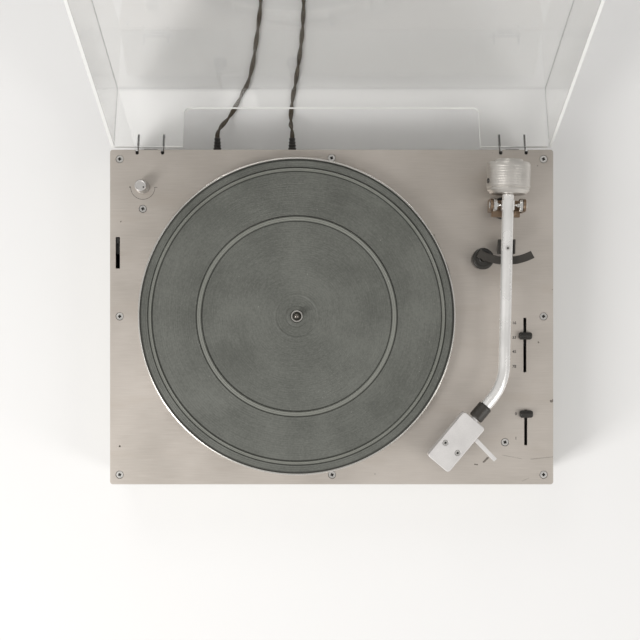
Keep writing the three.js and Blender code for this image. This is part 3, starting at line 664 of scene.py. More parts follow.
# %% Mat finish
def mat_finish():
    made, tree, shader, at = material("bloomed_rubber", (0.135, 0.14, 0.12), 0.6)
    centre = vector_calc(tree, "SUBTRACT", at, tuple(PLATTER))
    swirl = effect(tree, swirl_tree, centre, Smear=5.0, Rings=1400.0, Pitch=0.0008)
    cloud, fine = grain(tree, at, 22.0), grain(tree, at, 620.0)
    tone = calc(tree, "ADD", calc(tree, "MULTIPLY", swirl["Value"], 0.3), calc(tree, "MULTIPLY", cloud, 0.6))
    tone = calc(tree, "ADD", tone, calc(tree, "MULTIPLY", fine, 0.4))
    colour = blended(tree, ramp(tree, tone, 0.4, 0.9), (0.074, 0.077, 0.066), (0.142, 0.146, 0.129))
    dust = calc(tree, "MULTIPLY", specks(tree, at, 230.0, 0.1), 0.55)
    colour = blended(tree, dust, colour, (0.42, 0.42, 0.38))
    height = node(tree, "SeparateXYZ", {"Vector": at}).outputs["Z"]
    ridge_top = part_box("platter_mat")[1].z
    # The ridge tops are blended towards a pale grey: a painted highlight along the ridges.
    raised = ramp(tree, height, ridge_top - 0.0007, ridge_top - 0.0001, 0.0, 0.42)
    colour = blended(tree, raised, colour, (0.34, 0.345, 0.305))
    # Below the grooves, in the gap at the mat's foot and round the spindle hole, the colour turns near black:
    # painted shade.
    sunk_shade = ramp(tree, height, ridge_top - 0.0016, ridge_top - 0.0012, 0.8, 0.0)
    paint(tree, shader, "Base Color", blended(tree, sunk_shade, colour, (0.035, 0.035, 0.028)))
    paint(tree, shader, "Roughness", ramp(tree, tone, 0.4, 0.9, 0.62, 0.5))
    relief = calc(tree, "ADD", swirl["Lines"], calc(tree, "MULTIPLY", fine, 0.8))
    bump(tree, shader, relief, 0.15, 0.0001)
    return made


MAT = mat_finish()

# %% [markdown]
# Moulded parts are black with a soft shine, a little dust and greyer edges. Lacquer on the plinth has a
# faint orange peel. Rubber and flex are plainer, and the lid is clear acrylic with fine rubbing marks.


# %% Plastic, lacquer, rubber, flex and acrylic
def moulded(name, colour, roughness, worn, dusty, breakup=350.0, peel=1400.0):
    made, tree, shader, at = material(name, colour, roughness)
    edges = effect(tree, edge_tree, at, Radius=0.0006, Breakup=breakup)["Mask"]
    cloud, fine = grain(tree, at, 70.0), grain(tree, at, peel)
    tone = blended(tree, ramp(tree, cloud, 0.35, 0.75, 0.0, 0.45), colour, dusty)
    tone = blended(tree, calc(tree, "MULTIPLY", edges, 0.7), tone, worn)
    dots = calc(tree, "MULTIPLY", specks(tree, at, 420.0, 0.12), 0.5)
    paint(tree, shader, "Base Color", blended(tree, dots, tone, worn))
    paint(tree, shader, "Roughness", ramp(tree, cloud, 0.3, 0.75, roughness - 0.06, roughness + 0.12))
    bump(tree, shader, fine, 0.08, 0.0001)
    return made


def clear_acrylic():
    made, tree, shader, at = material(
        "clear_acrylic", (0.985, 0.985, 0.975), 0.03, 0.0, Transmission_Weight=1.0, IOR=1.49,
    )
    rubbed = ramp(tree, grain(tree, at, 420.0, (0.15, 1, 1)), 0.5, 0.8, 0.02, 0.12)
    dust = calc(tree, "MULTIPLY", specks(tree, at, 90.0, 0.05), 0.4)
    paint(tree, shader, "Roughness", calc(tree, "ADD", rubbed, dust))
    return made


BLACK = moulded("black_moulding", (0.020, 0.018, 0.015), 0.34, (0.10, 0.092, 0.08), (0.040, 0.036, 0.030))
COLLAR_BLACK = moulded("collar_black", (0.030, 0.026, 0.021), 0.42, (0.13, 0.115, 0.1), (0.052, 0.046, 0.038))
RUBBER = moulded("black_rubber", (0.022, 0.022, 0.020), 0.75, (0.06, 0.06, 0.055), (0.04, 0.04, 0.036))
LACQUER = moulded(
    "plinth_lacquer", (0.66, 0.64, 0.59), 0.42, (0.5, 0.48, 0.44), (0.62, 0.6, 0.55), 120.0, 900.0,
)
FLEX = moulded("brown_flex", (0.058, 0.042, 0.024), 0.4, (0.12, 0.09, 0.055), (0.085, 0.064, 0.038), 500.0)
INK_AND_SLOT_SHADE = moulded("label_ink_and_slot_shade", (0.022, 0.02, 0.018), 0.55, (0.12, 0.11, 0.1), (0.05, 0.046, 0.04))
ACRYLIC = clear_acrylic()
SAWN_EDGE = moulded(
    "sawn_acrylic_edge", (0.80, 0.80, 0.78), 0.5, (0.86, 0.86, 0.84), (0.74, 0.74, 0.71), 200.0,
)
print("finishes:", len(bpy.data.materials))

# %% [markdown]
# ## The two flexes
#
# Each flex is two insulated cores that turn slowly round each other. It leaves a tapered strain relief in the
# plinth's rear wall, drops to the floor and runs back to a neat two-layer coil. Its line comes first: chosen
# points to the coil, then turns by a loop. A figure-of-eight section is carried along it to show both cores.

# %% Routes and coils
FLEX_WIDTH, FLEX_STEP = 4.5, 2.2
COIL_MIDDLE, COIL_PITCH, COIL_STEPS = 26.5, 4.6, 40
COIL_Y, COIL_TAIL = 347.0, 23.0
FLEXES = {
    "mains": {
        "coil_x": -100, "side": 1, "turns_wide": 4, "twist": 46,
        "route": [
            (-106.5, 167.7, 26), (-106.5, 170.7, 26), (-105.2, 176, 22.8), (-102, 182, 15.2),
            (-98.4, 188, 8), (-94.8, 194, 4), (-90.4, 201.5, 2.5), (-84.5, 213, 2.5),
            (-79, 226, 2.5), (-74.8, 242, 2.5), (-72, 260, 2.5), (-69.6, 278, 2.5),
            (-67.6, 296, 2.5), (-66.6, 312, 2.5), (-66.6, 329, 2.5),
        ],
    },
    "audio": {
        "coil_x": 5, "side": -1, "turns_wide": 3, "twist": 38,
        "route": [
            (-36.5, 167.7, 26), (-36.5, 170.7, 26), (-37.2, 175.8, 22.6), (-38, 181, 15.2),
            (-38.4, 186.5, 8), (-38.3, 192.5, 3.8), (-37.6, 200, 2.5), (-36, 212, 2.5),
            (-33.4, 228, 2.5), (-30.6, 246, 2.5), (-28.4, 264, 2.5), (-26.9, 282, 2.5),
            (-26.2, 300, 2.5), (-26.1, 314, 2.5), (-26.1, 330, 2.5),
        ],
    },
}
FLOOR_HEIGHT = 2.3


def on_floor(x, y, z):
    """A point whose x and y count from the plate's middle and whose height counts from the floor."""
    return Vector((DECK.x + x * MM, DECK.y + y * MM, z * MM))


def eased(value):
    value = min(max(value, 0.0), 1.0)
    return value * value * (3 - 2 * value)


def coil_points(coil_x, side, turns_wide):
    """Turns of a two-layer coil: it winds inwards on the floor, climbs, and winds outwards on top."""
    outer = COIL_MIDDLE + (turns_wide - 1) * COIL_PITCH / 2
    step_in, climb, step_out = 300, 240, 120
    last_low = (turns_wide - 1) * 360
    end = last_low + 360 * turns_wide + 90
    points = []
    count = int(end / 360 * COIL_STEPS)
    for i in range(1, count + 1):
        angle = end * i / count
        inwards = sum(eased((angle - step_in - 360 * k) / 60) for k in range(turns_wide - 1))
        first_out = last_low + 360 + step_out
        outwards = sum(eased((angle - first_out - 360 * k) / 60) for k in range(turns_wide - 1))
        radius = outer - (inwards - outwards) * COIL_PITCH
        height = FLOOR_HEIGHT + COIL_PITCH * eased((angle - last_low - climb) / 60)
        turn = math.radians(angle)
        points.append((coil_x + side * radius * math.cos(turn), COIL_Y + radius * math.sin(turn), height))
    x, y, height = points[-1]
    tail = [(x - side * COIL_TAIL * share, y, height) for share in (0.25, 0.5, 0.75, 1.0)]
    return points + tail


flex_lines = {}
for name, data in FLEXES.items():
    line = smooth_path([on_floor(*p) for p in data["route"]], 6)
    turns = coil_points(data["coil_x"], data["side"], data["turns_wide"])
    flex_lines[name] = line + [on_floor(*p) for p in turns]
    print(name, "flex", round(path_length(flex_lines[name]), 3), "m")


# %% Cores, strain reliefs and ties
def twin_section(core=FLEX_WIDTH / 4, sides=10):
    """Two round cores side by side, joined by a narrow web."""
    half = [math.radians(-150 + 300 * i / (sides - 1)) for i in range(sides)]
    right = [((core + core * math.cos(a)) * MM, core * math.sin(a) * MM) for a in half]
    left = [(-x, -y) for x, y in right]
    return right + left


def evenly(path, spacing):
    """The same line with its points at even distances."""
    total = path_length(path)
    count = int(total / spacing)
    marks, walked, at = [path[0]], 0.0, 0
    for i in range(1, count):
        target = total * i / count
        while walked + (path[at + 1] - path[at]).length < target:
            walked += (path[at + 1] - path[at]).length
            at += 1
        step = (path[at + 1] - path[at])
        marks.append(path[at] + step * ((target - walked) / step.length))
    return marks + [path[-1]]


def flex(name):
    line = evenly(flex_lines[name], FLEX_STEP * MM)
    steps_per_twist = FLEXES[name]["twist"] / FLEX_STEP
    shape = along(line, twin_section(), twist=lambda i: 2 * math.pi * i / steps_per_twist)
    return finished(f"{name}_flex", shape, "root", FLEX, "cord", (f"{name}_cord", f"{name}_coil"), 60), line


def strain_relief(name):
    """A tapered sleeve with ribs, behind a collar that sits on the wall."""
    low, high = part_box(f"{name}_strain_relief")
    middle = (low + high) / 2
    length = (high.y - low.y) / MM
    profile = [(0, 0), (6.5, 0), (6.5, 2.7), (4, 2.7), (4, 5.3), (6.5, 5.3), (6.5, 7.2), (5.8, 8), (4.25, 8)]
    first, last, ribs = 9.2, length - 1.6, 5
    for i in range(ribs):
        at = first + (last - first) * i / ribs
        radius = 4.2 - 1.2 * i / ribs
        profile += [(radius, at), (radius, at + 1.2), (radius - 0.7, at + 1.5), (radius - 0.75, at + 2.0)]
    profile += [(2.9, last), (2.9, length), (1.2, length), (0, length - 0.4)]
    shape = turned(rounded(profile, 0.3, 2), 40, (middle.x, low.y, middle.z), (0, 1, 0))
    node = f"{name}_strain_relief"
    return finished(f"{name}_relief", shape, "root", BLACK, "black_plastic", node, 40)


def tie(name, angle, half_strap=2.2, thick=0.5):
    """A thin strap round both layers of a coil at one place."""
    flex_data = FLEXES[name]
    wide = flex_data["turns_wide"] * COIL_PITCH / 2 + 0.35
    tall = COIL_PITCH + 0.35
    centre = on_floor(flex_data["coil_x"], COIL_Y, FLOOR_HEIGHT + COIL_PITCH / 2)
    outwards = Vector((math.cos(math.radians(angle)), math.sin(math.radians(angle)), 0))
    middle = centre + outwards * COIL_MIDDLE * MM
    sideways = outwards.cross(Vector((0, 0, 1)))
    shape = bmesh.new()
    rows = []
    for a, b in round_box(-wide, -tall + 0.02, wide, tall, 2.2, 5):
        at = middle + outwards * a * MM + Vector((0, 0, b * MM))
        out = (at - middle).normalized() * thick * MM
        corners = ((-half_strap, Vector()), (half_strap, Vector()), (half_strap, out), (-half_strap, out))
        rows.append([shape.verts.new(at + sideways * s * MM + o) for s, o in corners])
    walls(shape, rows + rows[:1])
    for vert in shape.verts:
        vert.co.z = max(vert.co.z, 0.0001)
    return finished(f"{name}_tie", outward(shape), "root", RUBBER, "cord", (), 40)


def plug_place(name):
    flex_data = FLEXES[name]
    outer = COIL_MIDDLE + (flex_data["turns_wide"] - 1) * COIL_PITCH / 2
    x = flex_data["coil_x"] - flex_data["side"] * (COIL_TAIL + 0.3)
    return on_floor(x, COIL_Y + outer, COIL_PITCH + FLEX_WIDTH / 2)


def rod_x(profile, sides, y=0.0, z=0.0):
    """A profile turned about a line along X."""
    return turned(profile, sides, (0, y * MM, z * MM), (1, 0, 0))


def mains_plug():
    """A flat two-pin plug: ribbed tail, rounded body with a seam, and two pins with sleeves."""
    body = flat([round_box(10, -12, 44, 12, 6, 8)], -6.8, 6.8, 2.0, 4)
    seam = flat([round_box(9.9, -12.1, 44.1, 12.1, 6, 8)], -0.15, 0.15)
    ribs = [(0, 0), (2.9, 0), (3.1, 2), (2.7, 2.4), (3.4, 4.4), (3.0, 4.8), (3.7, 6.8), (3.3, 7.2)]
    tail = rod_x(rounded([*ribs, (4.2, 9.4), (4.2, 11), (0, 11)], 0.3, 2), 32)
    pin = rounded([(0, 52.5), (1.95, 52.5), (1.95, 61), (1.2, 62), (0, 62)], 0.4, 3)
    sleeves = [rod_x([(0, 43.5), (2.15, 43.5), (2.15, 53), (0, 53)], 24, y) for y in (-9.5, 9.5)]
    pins = [rod_x(pin, 24, y) for y in (-9.5, 9.5)]
    plastic = moved(joined(body, seam, tail, *sleeves), plug_place("mains"), 180)
    metal = moved(joined(*pins), plug_place("mains"), 180)
    return [finished("mains_plug_body", plastic, "root", BLACK, "black_plastic", "mains_plug", 40),
            finished("mains_plug_pins", metal, "root", BRASS, "brass")]


def audio_plug():
    """A round multi-pin plug: a ribbed grip and a metal skirt that is open in front, with pins inside."""
    grip = [(0, 0), (2.9, 0), (4, 9), (6.6, 12)]
    for i in range(7):
        at = 14 + i * 2.6
        grip += [(6.6, at), (6.2, at + 0.5), (6.2, at + 1.0), (6.6, at + 1.5)]
    skirt = rod_x([(0, 33.6), (6.2, 33.6), (6.2, 44), (5.6, 44), (5.6, 36), (0, 36)], 48)
    turns = [math.radians(45 * i) for i in range(5)]
    pins = [rod_x([(0, 35.5), (0.7, 35.5), (0.7, 42.4), (0, 43)], 12, 3.4 * math.cos(t), 3.4 * math.sin(t))
            for t in turns]
    plastic = moved(rod_x([*grip, (6.6, 34), (0, 34)], 48), plug_place("audio"))
    metal = moved(joined(skirt, *pins), plug_place("audio"))
    return [finished("audio_plug_grip", plastic, "root", BLACK, "black_plastic", "audio_plug", 40),
            finished("audio_plug_skirt", metal, "root", ZINC, "sheet_steel")]


plugs = {"mains": mains_plug(), "audio": audio_plug()}
for name in FLEXES:
    made, line = flex(name)
    pieces = [strain_relief(name), tie(name, 200 if name == "mains" else -20), *plugs[name]]
    print(name, "flex made with", len(made.data.polygons), "faces")

# %% [markdown]
# ## Casing
#
# The deck is one sheet with many openings. Filling its outline with the holes left out gives true round holes
# and a fine rounded edge all along them. The plinth keeps its CAD shape, with softer edges.

# %% Top plate
PLATE_HALF_X = (plate_high.x - plate_low.x) / 2 / MM
PLATE_HALF_Y = (plate_high.y - plate_low.y) / 2 / MM
PLATE_THICK = (plate_high.z - plate_low.z) / MM
SCREW_HOLE = 3.5
HINGE_NOTCH = {"width": 3.0, "depth": 4.4, "outwards": 0.6}
MOTOR = centre_of("motor_pulley")
IDLER = centre_of("idler_wheel")


def deck_xy(place):
    """Millimetres from the plate's middle to a place in metres."""
    return (place.x - DECK.x) / MM, (place.y - DECK.y) / MM


def plate_screw_places():
    return [deck_xy(centre_of(f"plate_screw_{i}")) for i in range(1, 11)]


def notch_places():
    places = []
    for side in ("left", "right"):
        low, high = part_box(f"hinge_wire_{side}")
        wire = 0.6
        for x in (low.x / MM + wire, high.x / MM - wire):
            places.append(x + math.copysign(HINGE_NOTCH["outwards"], x))
    return sorted(places, reverse=True)


def plate_outline():
    x, y, corner = PLATE_HALF_X, PLATE_HALF_Y, 2.5
    points = arc(x - corner, -y + corner, corner, -90, 0) + arc(x - corner, y - corner, corner, 0, 90)
    half = HINGE_NOTCH["width"] / 2
    for at in notch_places():
        inner = y - HINGE_NOTCH["depth"] + half
        points += [(at + half, y), *arc(at, inner, half, 0, -180), (at - half, y)]
    points += arc(-x + corner, y - corner, corner, 90, 180)
    return points + arc(-x + corner, -y + corner, corner, 180, 270)


SPEED_SLOT, POWER_SLOT, TRANSIT_SLOT = (-49.8, -0.8), (-115.7, -83.8), (43.8, 72.2)
TRANSIT_X, TRANSIT_WIDTH, SLOT_WIDTH = -193.0, 3.7, 2.6
ROUND_HOLES = [(PLATTER, 12.5), (PIVOT, 7.6), (MOTOR, 8.6), (IDLER, 2.4), (centre_of("fine_speed_knob"), 3.2)]
PIN_HOLE = (-191.2, -116.6, 0.8)


def top_plate():
    holes = [circle(*deck_xy(place), radius) for place, radius in ROUND_HOLES] + [circle(*PIN_HOLE, 16)]
    holes += [circle(x, y, SCREW_HOLE) for x, y in plate_screw_places()]
    slots = ((deck_xy(centre_of("speed_slider"))[0], SLOT_WIDTH, SPEED_SLOT),
             (deck_xy(centre_of("power_slider"))[0], SLOT_WIDTH, POWER_SLOT),
             (TRANSIT_X, TRANSIT_WIDTH, TRANSIT_SLOT))
    for x, width, (low, high) in slots:
        holes.append(round_box(x - width / 2, low, x + width / 2, high, 0.4, 3)[::-1])
    shape = moved(flat([plate_outline(), *holes], -PLATE_THICK, 0, 0.25, 2), DECK)
    return finished("deck_plate", shape, "root", PLATE, "plate", "top_plate", 30)


deck_plate = top_plate()
print("deck plate:", len(deck_plate.data.polygons), "faces")

# %% Plinth, base cover and feet
refined("plinth", "plinth_shell", "root", LACQUER, "lacquer", 0.7, 3)


def base_cover():
    """The sheet under the player, with rows of cooling slots below the motor."""
    low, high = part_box("bottom_cover")
    x0, y0, x1, y1 = (v / MM for v in (low.x, low.y, high.x, high.y))
    outlines = [round_box(x0, y0, x1, y1, 1, 3)]
    for row in range(2):
        for i in range(9):
            x = MOTOR.x / MM - 32 + 8 * i
            y = MOTOR.y / MM - 28 + 32 * row
            outlines.append(round_box(x - 1.2, y, x + 1.2, y + 24, 1.1, 3)[::-1])
    shape = flat(outlines, low.z / MM, high.z / MM, 0.15, 1)
    return finished("base_cover", shape, "root", ZINC, "sheet_steel", "bottom_cover", 30)


def foot(node):
    low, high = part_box(node)
    middle = (low + high) / 2
    radius, height = (high.x - low.x) / 2 / MM, (high.z - low.z) / MM
    profile = [(0, 2.4), (3.4, 2.4), (3.4, 0.6), (4.6, 0), (radius - 2.6, 0), (radius - 1.2, 1.2)]
    for i in range(3):
        at = 1.8 + i * 1.7
        profile += [(radius - 0.2, at), (radius, at + 0.4)]
        profile += [(radius - 0.1, at + 1.0), (radius - 0.7, at + 1.3)]
    profile += [(radius - 1.5, height), (0, height)]
    shape = turned(profile, 64, (middle.x, middle.y, low.z))
    return finished(node.replace("foot", "rubber_foot"), shape, "root", RUBBER, "rubber", node, 40)


base_cover()
for end in ("front", "rear"):
    for side in ("left", "right"):
        foot(f"foot_{end}_{side}")
print("plinth, base cover and feet made")

# %% [markdown]
# ## Screws
#
# Thirteen countersunk screws of three sizes hold the deck, the head and the arm's insert. One
# Geometry Nodes tree builds a screw with a cross recess and sets a copy on each point, turned at random
# from a fixed seed. Realize Instances makes the copies real, so each set is kept as one plain mesh.


# %% A Geometry Nodes tree for countersunk screws
SCREW_SIZES = {"Head Radius": 3.1, "Head Depth": 1.7, "Shank Radius": 1.5, "Shank Length": 3.7,
               "Recess Length": 3.1, "Recess Width": 1.3, "Recess Depth": 1.2}


def screw_tree():
    inputs = [("Geometry", "Geometry", None)]
    inputs += [(label, "Float", size) for label, size in SCREW_SIZES.items()]
    inputs += [("Scale", "Float", MM), ("Finish", "Material", None), ("Recess Shade", "Material", None),
               ("Seed", "Int", 3)]
    tree, given, result = node_group("countersunk_screws", inputs, ["Geometry"], "Geometry", "Geometry")

    def add(kind, sockets=None, **settings):
        return add_node(tree, kind, sockets, **settings)

    def maths(operation, a, b):
        return calc(tree, operation, a, b)

    def cone(top, bottom, depth, height):
        sizes = {"Vertices": 40, "Radius Top": top, "Radius Bottom": bottom, "Depth": depth}
        solid = add("GeometryNodeMeshCone", sizes).outputs["Mesh"]
        offset = node(tree, "CombineXYZ", {"Z": height}).outputs[0]
        return add("GeometryNodeTransform", {"Geometry": solid, "Translation": offset}).outputs[0]

    def finish(geometry, label, **more):
        sockets = {"Geometry": geometry, "Material": given[label], **more}
        return add("GeometryNodeSetMaterial", sockets).outputs["Geometry"]

    buried = maths("MULTIPLY", given["Shank Radius"], 0.85)
    head_end = maths("MULTIPLY", given["Head Depth"], -1.0)
    head = cone(given["Head Radius"], buried, given["Head Depth"], head_end)
    overlap = maths("MULTIPLY", given["Head Depth"], 0.35)
    shank_end = maths("SUBTRACT", head_end, given["Shank Length"])
    whole_length = maths("ADD", given["Shank Length"], overlap)
    shank = cone(given["Shank Radius"], given["Shank Radius"], whole_length, shank_end)
    solid = add("GeometryNodeMeshBoolean", operation="UNION")
    for part in (head, shank):
        tree.links.new(part, solid.inputs["Mesh 2"])
    blades = add("GeometryNodeMeshBoolean", operation="UNION")
    double_depth = maths("MULTIPLY", given["Recess Depth"], 2.0)
    shallower = maths("MULTIPLY", double_depth, 0.96)
    sides = (("Recess Length", "Recess Width", double_depth), ("Recess Width", "Recess Length", shallower))
    for first, second, depth in sides:
        size = add("ShaderNodeCombineXYZ", {"X": given[first], "Y": given[second], "Z": depth}).outputs[0]
        tree.links.new(add("GeometryNodeMeshCube", {"Size": size}).outputs["Mesh"], blades.inputs["Mesh 2"])
    # The recess blades carry the near-black recess colour into the cut, so each recess is painted with shade.
    shaded_recess = finish(blades.outputs["Mesh"], "Recess Shade")
    clean = finish(solid.outputs["Mesh"], "Finish")
    screw = add("GeometryNodeMeshBoolean", {"Mesh 1": clean, "Mesh 2": shaded_recess}, operation="DIFFERENCE")
    turn = add("FunctionNodeRandomValue", {"Seed": given["Seed"]}, data_type="FLOAT")
    turn.inputs[2].default_value, turn.inputs[3].default_value = 0.0, math.pi / 2
    spin = add("ShaderNodeCombineXYZ", {"Z": turn.outputs[1]}).outputs[0]
    points = add("GeometryNodeMeshToPoints", {"Mesh": given["Geometry"]}).outputs["Points"]
    placed = add("GeometryNodeInstanceOnPoints", {
        "Points": points, "Instance": screw.outputs["Mesh"], "Rotation": spin, "Scale": given["Scale"],
    }).outputs["Instances"]
    real = add("GeometryNodeRealizeInstances", {"Geometry": placed}).outputs["Geometry"]
    in_recess = add("GeometryNodeMaterialSelection", {"Material": given["Recess Shade"]}).outputs[0]
    outside = add("FunctionNodeBooleanMath", {0: in_recess}, operation="NOT").outputs[0]
    tree.links.new(finish(real, "Finish", Selection=outside), result["Geometry"])
    return tree


SCREWS = screw_tree()


def screws(name, places, body, replaced=(), seed=3, scale=1.0):
    """A set of screws whose heads are level with the places, as one plain mesh."""
    mesh = bpy.data.meshes.new(name)
    mesh.from_pydata([tuple(p) for p in places], [], [])
    holder = linked("holder", mesh)
    made = holder.modifiers.new("screws", "NODES")
    made.node_group = SCREWS
    values = {**SCREW_SIZES, "Finish": SCREW_STEEL, "Recess Shade": RECESS_SHADE, "Seed": seed}
    values["Scale"] = scale * MM
    for socket in SCREWS.interface.items_tree:
        if socket.in_out == "INPUT" and socket.name in values:
            made[socket.identifier] = values[socket.name]
    return finished_mesh(name, evaluated_mesh(holder), body, None, "screw_steel", replaced, 30)


plate_screws = screws(
    "deck_screws", [on_deck(x, y, -0.15) for x, y in plate_screw_places()], "root",
    [f"plate_screw_{i}" for i in range(1, 11)],
)
print("deck screws:", len(plate_screws.data.polygons), "faces")

# %% [markdown]
# ## Platter, mat and drive
#
# The platter is a turned aluminium dish and its mat a moulded rubber disc. Both follow one rule, a profile
# turned about the spindle, so every groove of the mat is real geometry. Two low ridges carry records of two
# sizes, and fine grooves fill the ground between them.


# %% Platter and mat
def groove(start, end, top, pitch=2.0, depth=0.16):
    """Points of a grooved surface from one radius to another."""
    points = []
    count = round((end - start) / pitch)
    for i in range(count):
        at = start + (end - start) * i / count
        points += [(at, top), (at + pitch * 0.62, top), (at + pitch * 0.81, top - depth)]
    return points + [(end, top)]


def ridge(start, end, low, high):
    """A low ridge with a hollow in its top and a sharp line along each foot."""
    width = end - start
    return [
        (start - 0.9, low), (start - 0.7, low - 0.7), (start - 0.2, low - 0.7), (start, low + 0.1),
        (start + 0.25 * width, high), (start + 0.35 * width, high), (start + 0.5 * width, high - 0.35),
        (end - 0.35 * width, high), (end - 0.25 * width, high), (end, low + 0.1), (end + 0.2, low - 0.7),
        (end + 0.7, low - 0.7), (end + 0.9, low),
    ]


def platter():
    radius, lip, bore = 142, 140.2, 3.8
    profile = [
        (bore, 0.6), (16, 0.6), (20, 9.5), (134, 9.5), (134, 2), (radius - 1, 2), (radius, 3),
        (radius, 12.4), (radius - 0.25, 12.7), (radius, 13.0), (radius, 13.8), (radius - 0.8, 14.6),
        (lip, 14.6), (lip, 13), (bore, 13), (bore, 0.6),
    ]
    shape = turned(rounded(profile, 0.5, 3), 320, PLATTER)
    return finished("platter_dish", shape, "platter", RIM, "platter_aluminium", "platter", 30)


def mat():
    floor, top, high, outer = 13.3, 15.0, 16.0, 138.7
    inner = [(5.3, floor), (5.3, top - 0.4), (5.9, top + 0.35), (8.6, top + 0.35), (9.4, top - 0.3)]
    inner += [*groove(10.2, 18.0, top), (18.7, top + 0.3), (19.6, top + 0.3), (20.3, top)]
    inner += [*groove(21, 84.0, top), *ridge(85, 89.2, top, high)]
    inner += [*groove(90.3, 128.2, top), *ridge(129.3, 132.3, top, high)]
    inner += groove(133.4, 138.2, top, 1.6, 0.2)
    # The thin flange at the mat's foot closes the gap to the platter's lip, and the mat colour paints it near
    # black as shade.
    rim = [(outer - 0.3, top), (outer, top - 0.3), (outer, floor + 0.3), (140.0, floor + 0.3), (140.0, floor)]
    shape = turned([*inner, *rim, (5.3, floor)], 224, PLATTER)
    return finished("ridged_mat", shape, "platter", MAT, "mat_rubber", "platter_mat", 50)


platter()
print("mat:", len(mat().data.polygons), "faces")
tip = [(3.5, 22.6), (3.3, 23.6), (2.9, 24.8), (2.2, 25.9), (1.3, 26.7), (0.5, 27), (0, 27)]
shape = turned([(0, -42.6), (3.2, -42.6), (3.5, -42.2), *tip], 48, PLATTER)
finished("record_spindle", shape, "platter", SPINDLE_DARK_REFLECTION, "bright_metal", "spindle", 60)


# %% Drive under the platter
def over_deck(place):
    """The point on the deck straight above or below a place."""
    return Vector((place.x, place.y, DECK.z))


def pulley():
    """Four crowned steps, one for each speed."""
    steps = [(7.45, 0.6, 2.6), (4.3, 2.6, 4.7), (3.2, 4.7, 6.8), (1.6, 6.8, 8.9)]
    profile = [(0, -11), (1.5, -11), (1.5, 0.6)]
    for radius, low, high in steps:
        profile += [(radius - 0.25, low), (radius, low + 0.25), (radius, high - 0.25), (radius - 0.2, high)]
    shape = turned([*profile, (0, 8.9)], 48, over_deck(MOTOR))
    return finished("stepped_pulley", shape, "motor_shaft", BRASS, "brass", "motor_pulley", 30)


BEARING = [(0, -46), (9, -46), (9, -6), (22, -6), (22, -2.3), (11, -2.3), (11, -0.6), (3.8, -0.6), (3.8, -43),
           (0, -43)]
shape = turned(rounded(BEARING, 0.4, 2), 48, PLATTER)
finished("main_bearing", shape, "root", BRASS, "brass", "platter_bearing", 30)
pulley()
TYRE = [(1.8, 5), (5, 5), (5.4, 5.35), (15.6, 5.35), (16, 5), (19.2, 5), (19.6, 5.3), (19.6, 6.2),
        (19.2, 6.5), (16, 6.5), (15.6, 6.15), (5.4, 6.15), (5, 6.5), (1.8, 6.5), (1.8, 5)]
finished("idler_tyre", turned(TYRE, 96, over_deck(IDLER)), "idler", RUBBER, "rubber", "idler_wheel", 30)
for name, node_name, bevel, steps in (
    ("motor_plate", "motor_bracket", 0.3, 2), ("motor_case", "motor_housing", 0.8, 3),
    ("idler_lever", "idler_arm", 0.25, 2),
):
    refined(name, node_name, "root", ZINC, "sheet_steel", bevel, steps)
print("drive made")

# %% [markdown]
# ## Controls and marks
#
# Two black slider knobs choose the speed and switch the motor, each with a raised grip across its middle.
# A turned knob trims the speed. Their scales are printed on the deck: plain numbers, made from the built-in
# font, and a half circle with its two ends marked.


# %% Sliders and knobs
def slider(name, node, body, link):
    """A knob with a waisted grip above the slot, and its stem and carriage under the deck."""
    low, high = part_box(node)
    x, y = (low.x + high.x) / 2, low.y + 9 * MM
    base = flat([round_box(-6, -3.3, 6, 3.3, 2.2, 8)], 0.4, 4.6, 1.0, 4)
    crest = flat([round_box(-5.4, -1.5, 5.4, 1.5, 1.4, 8)], 3.4, 7.0, 1.3, 5)
    stem = flat([round_box(-0.9, -2.2, 0.9, 2.2, 0.3, 2)], -6, 1)
    carriage = flat([round_box(-8, -9, 8, 9, 1, 3)], -8, -6, 0.3, 1)
    tongue = flat([round_box(-1.5, 0, 1.5, link, 0.5, 2)], -9.5, -8, 0.2, 1)
    shape = moved(joined(base, crest, stem, carriage, tongue), (x, y, DECK.z))
    return finished(name, shape, body, BLACK, "black_plastic", node, 40)


def fine_speed_knob():
    middle = over_deck(centre_of("fine_speed_knob"))
    profile = [(0, -14), (6, -14), (6, -11), (2.8, -11), (2.8, 0.5), (6.0, 0.5), (6.0, 5.6), (5.5, 6.3),
               (5.3, 6.5), (5.3, 15.2), (4.7, 16), (4.2, 16), (4.0, 15.85), (0, 15.85)]
    shape = turned(rounded(profile, 0.25, 3), 64, middle)
    finished("trim_knob", shape, "fine_speed_control", KNOB_SILVER, "turned_aluminium", "fine_speed_knob", 35)
    turn, reach = math.radians(-29), 3.1 * MM
    place = (middle.x + reach * math.cos(turn), middle.y + reach * math.sin(turn), DECK.z)
    dot = turned([(0, 15.7), (0.75, 15.7), (0.75, 15.95), (0, 15.95)], 20, place)
    finished("trim_knob_dot", dot, "fine_speed_control", INK_AND_SLOT_SHADE, "black_plastic")


slider("speed_knob", "speed_slider", "speed_control", 60)
slider("power_knob", "power_slider", "power_control", 14)
fine_speed_knob()
refined("transit_tab", "transit_slider", "transit_control", BLACKENED, "sheet_steel", 0.25)
for name, node_name in (("switch_box", "mains_switch"), ("terminals", "terminal_block")):
    refined(name, node_name, "root", BLACK, "black_plastic", 0.6, 3)

# %% Printed marks
INK = 0.03


def number(text, x, y, height):
    """A printed number, standing on the deck by the thickness of its ink."""
    font = bpy.data.curves.new("number", "FONT")
    font.body = text
    font.size = height / 0.7 * MM
    font.offset = 0.09 * MM
    font.align_x, font.align_y = "RIGHT", "CENTER"
    font.extrude = INK / 2 * MM
    shape = as_shape(evaluated_mesh(linked("number", font)))
    bmesh.ops.remove_doubles(shape, verts=shape.verts, dist=1e-6)
    return moved(shape, on_deck(x, y, INK / 2))


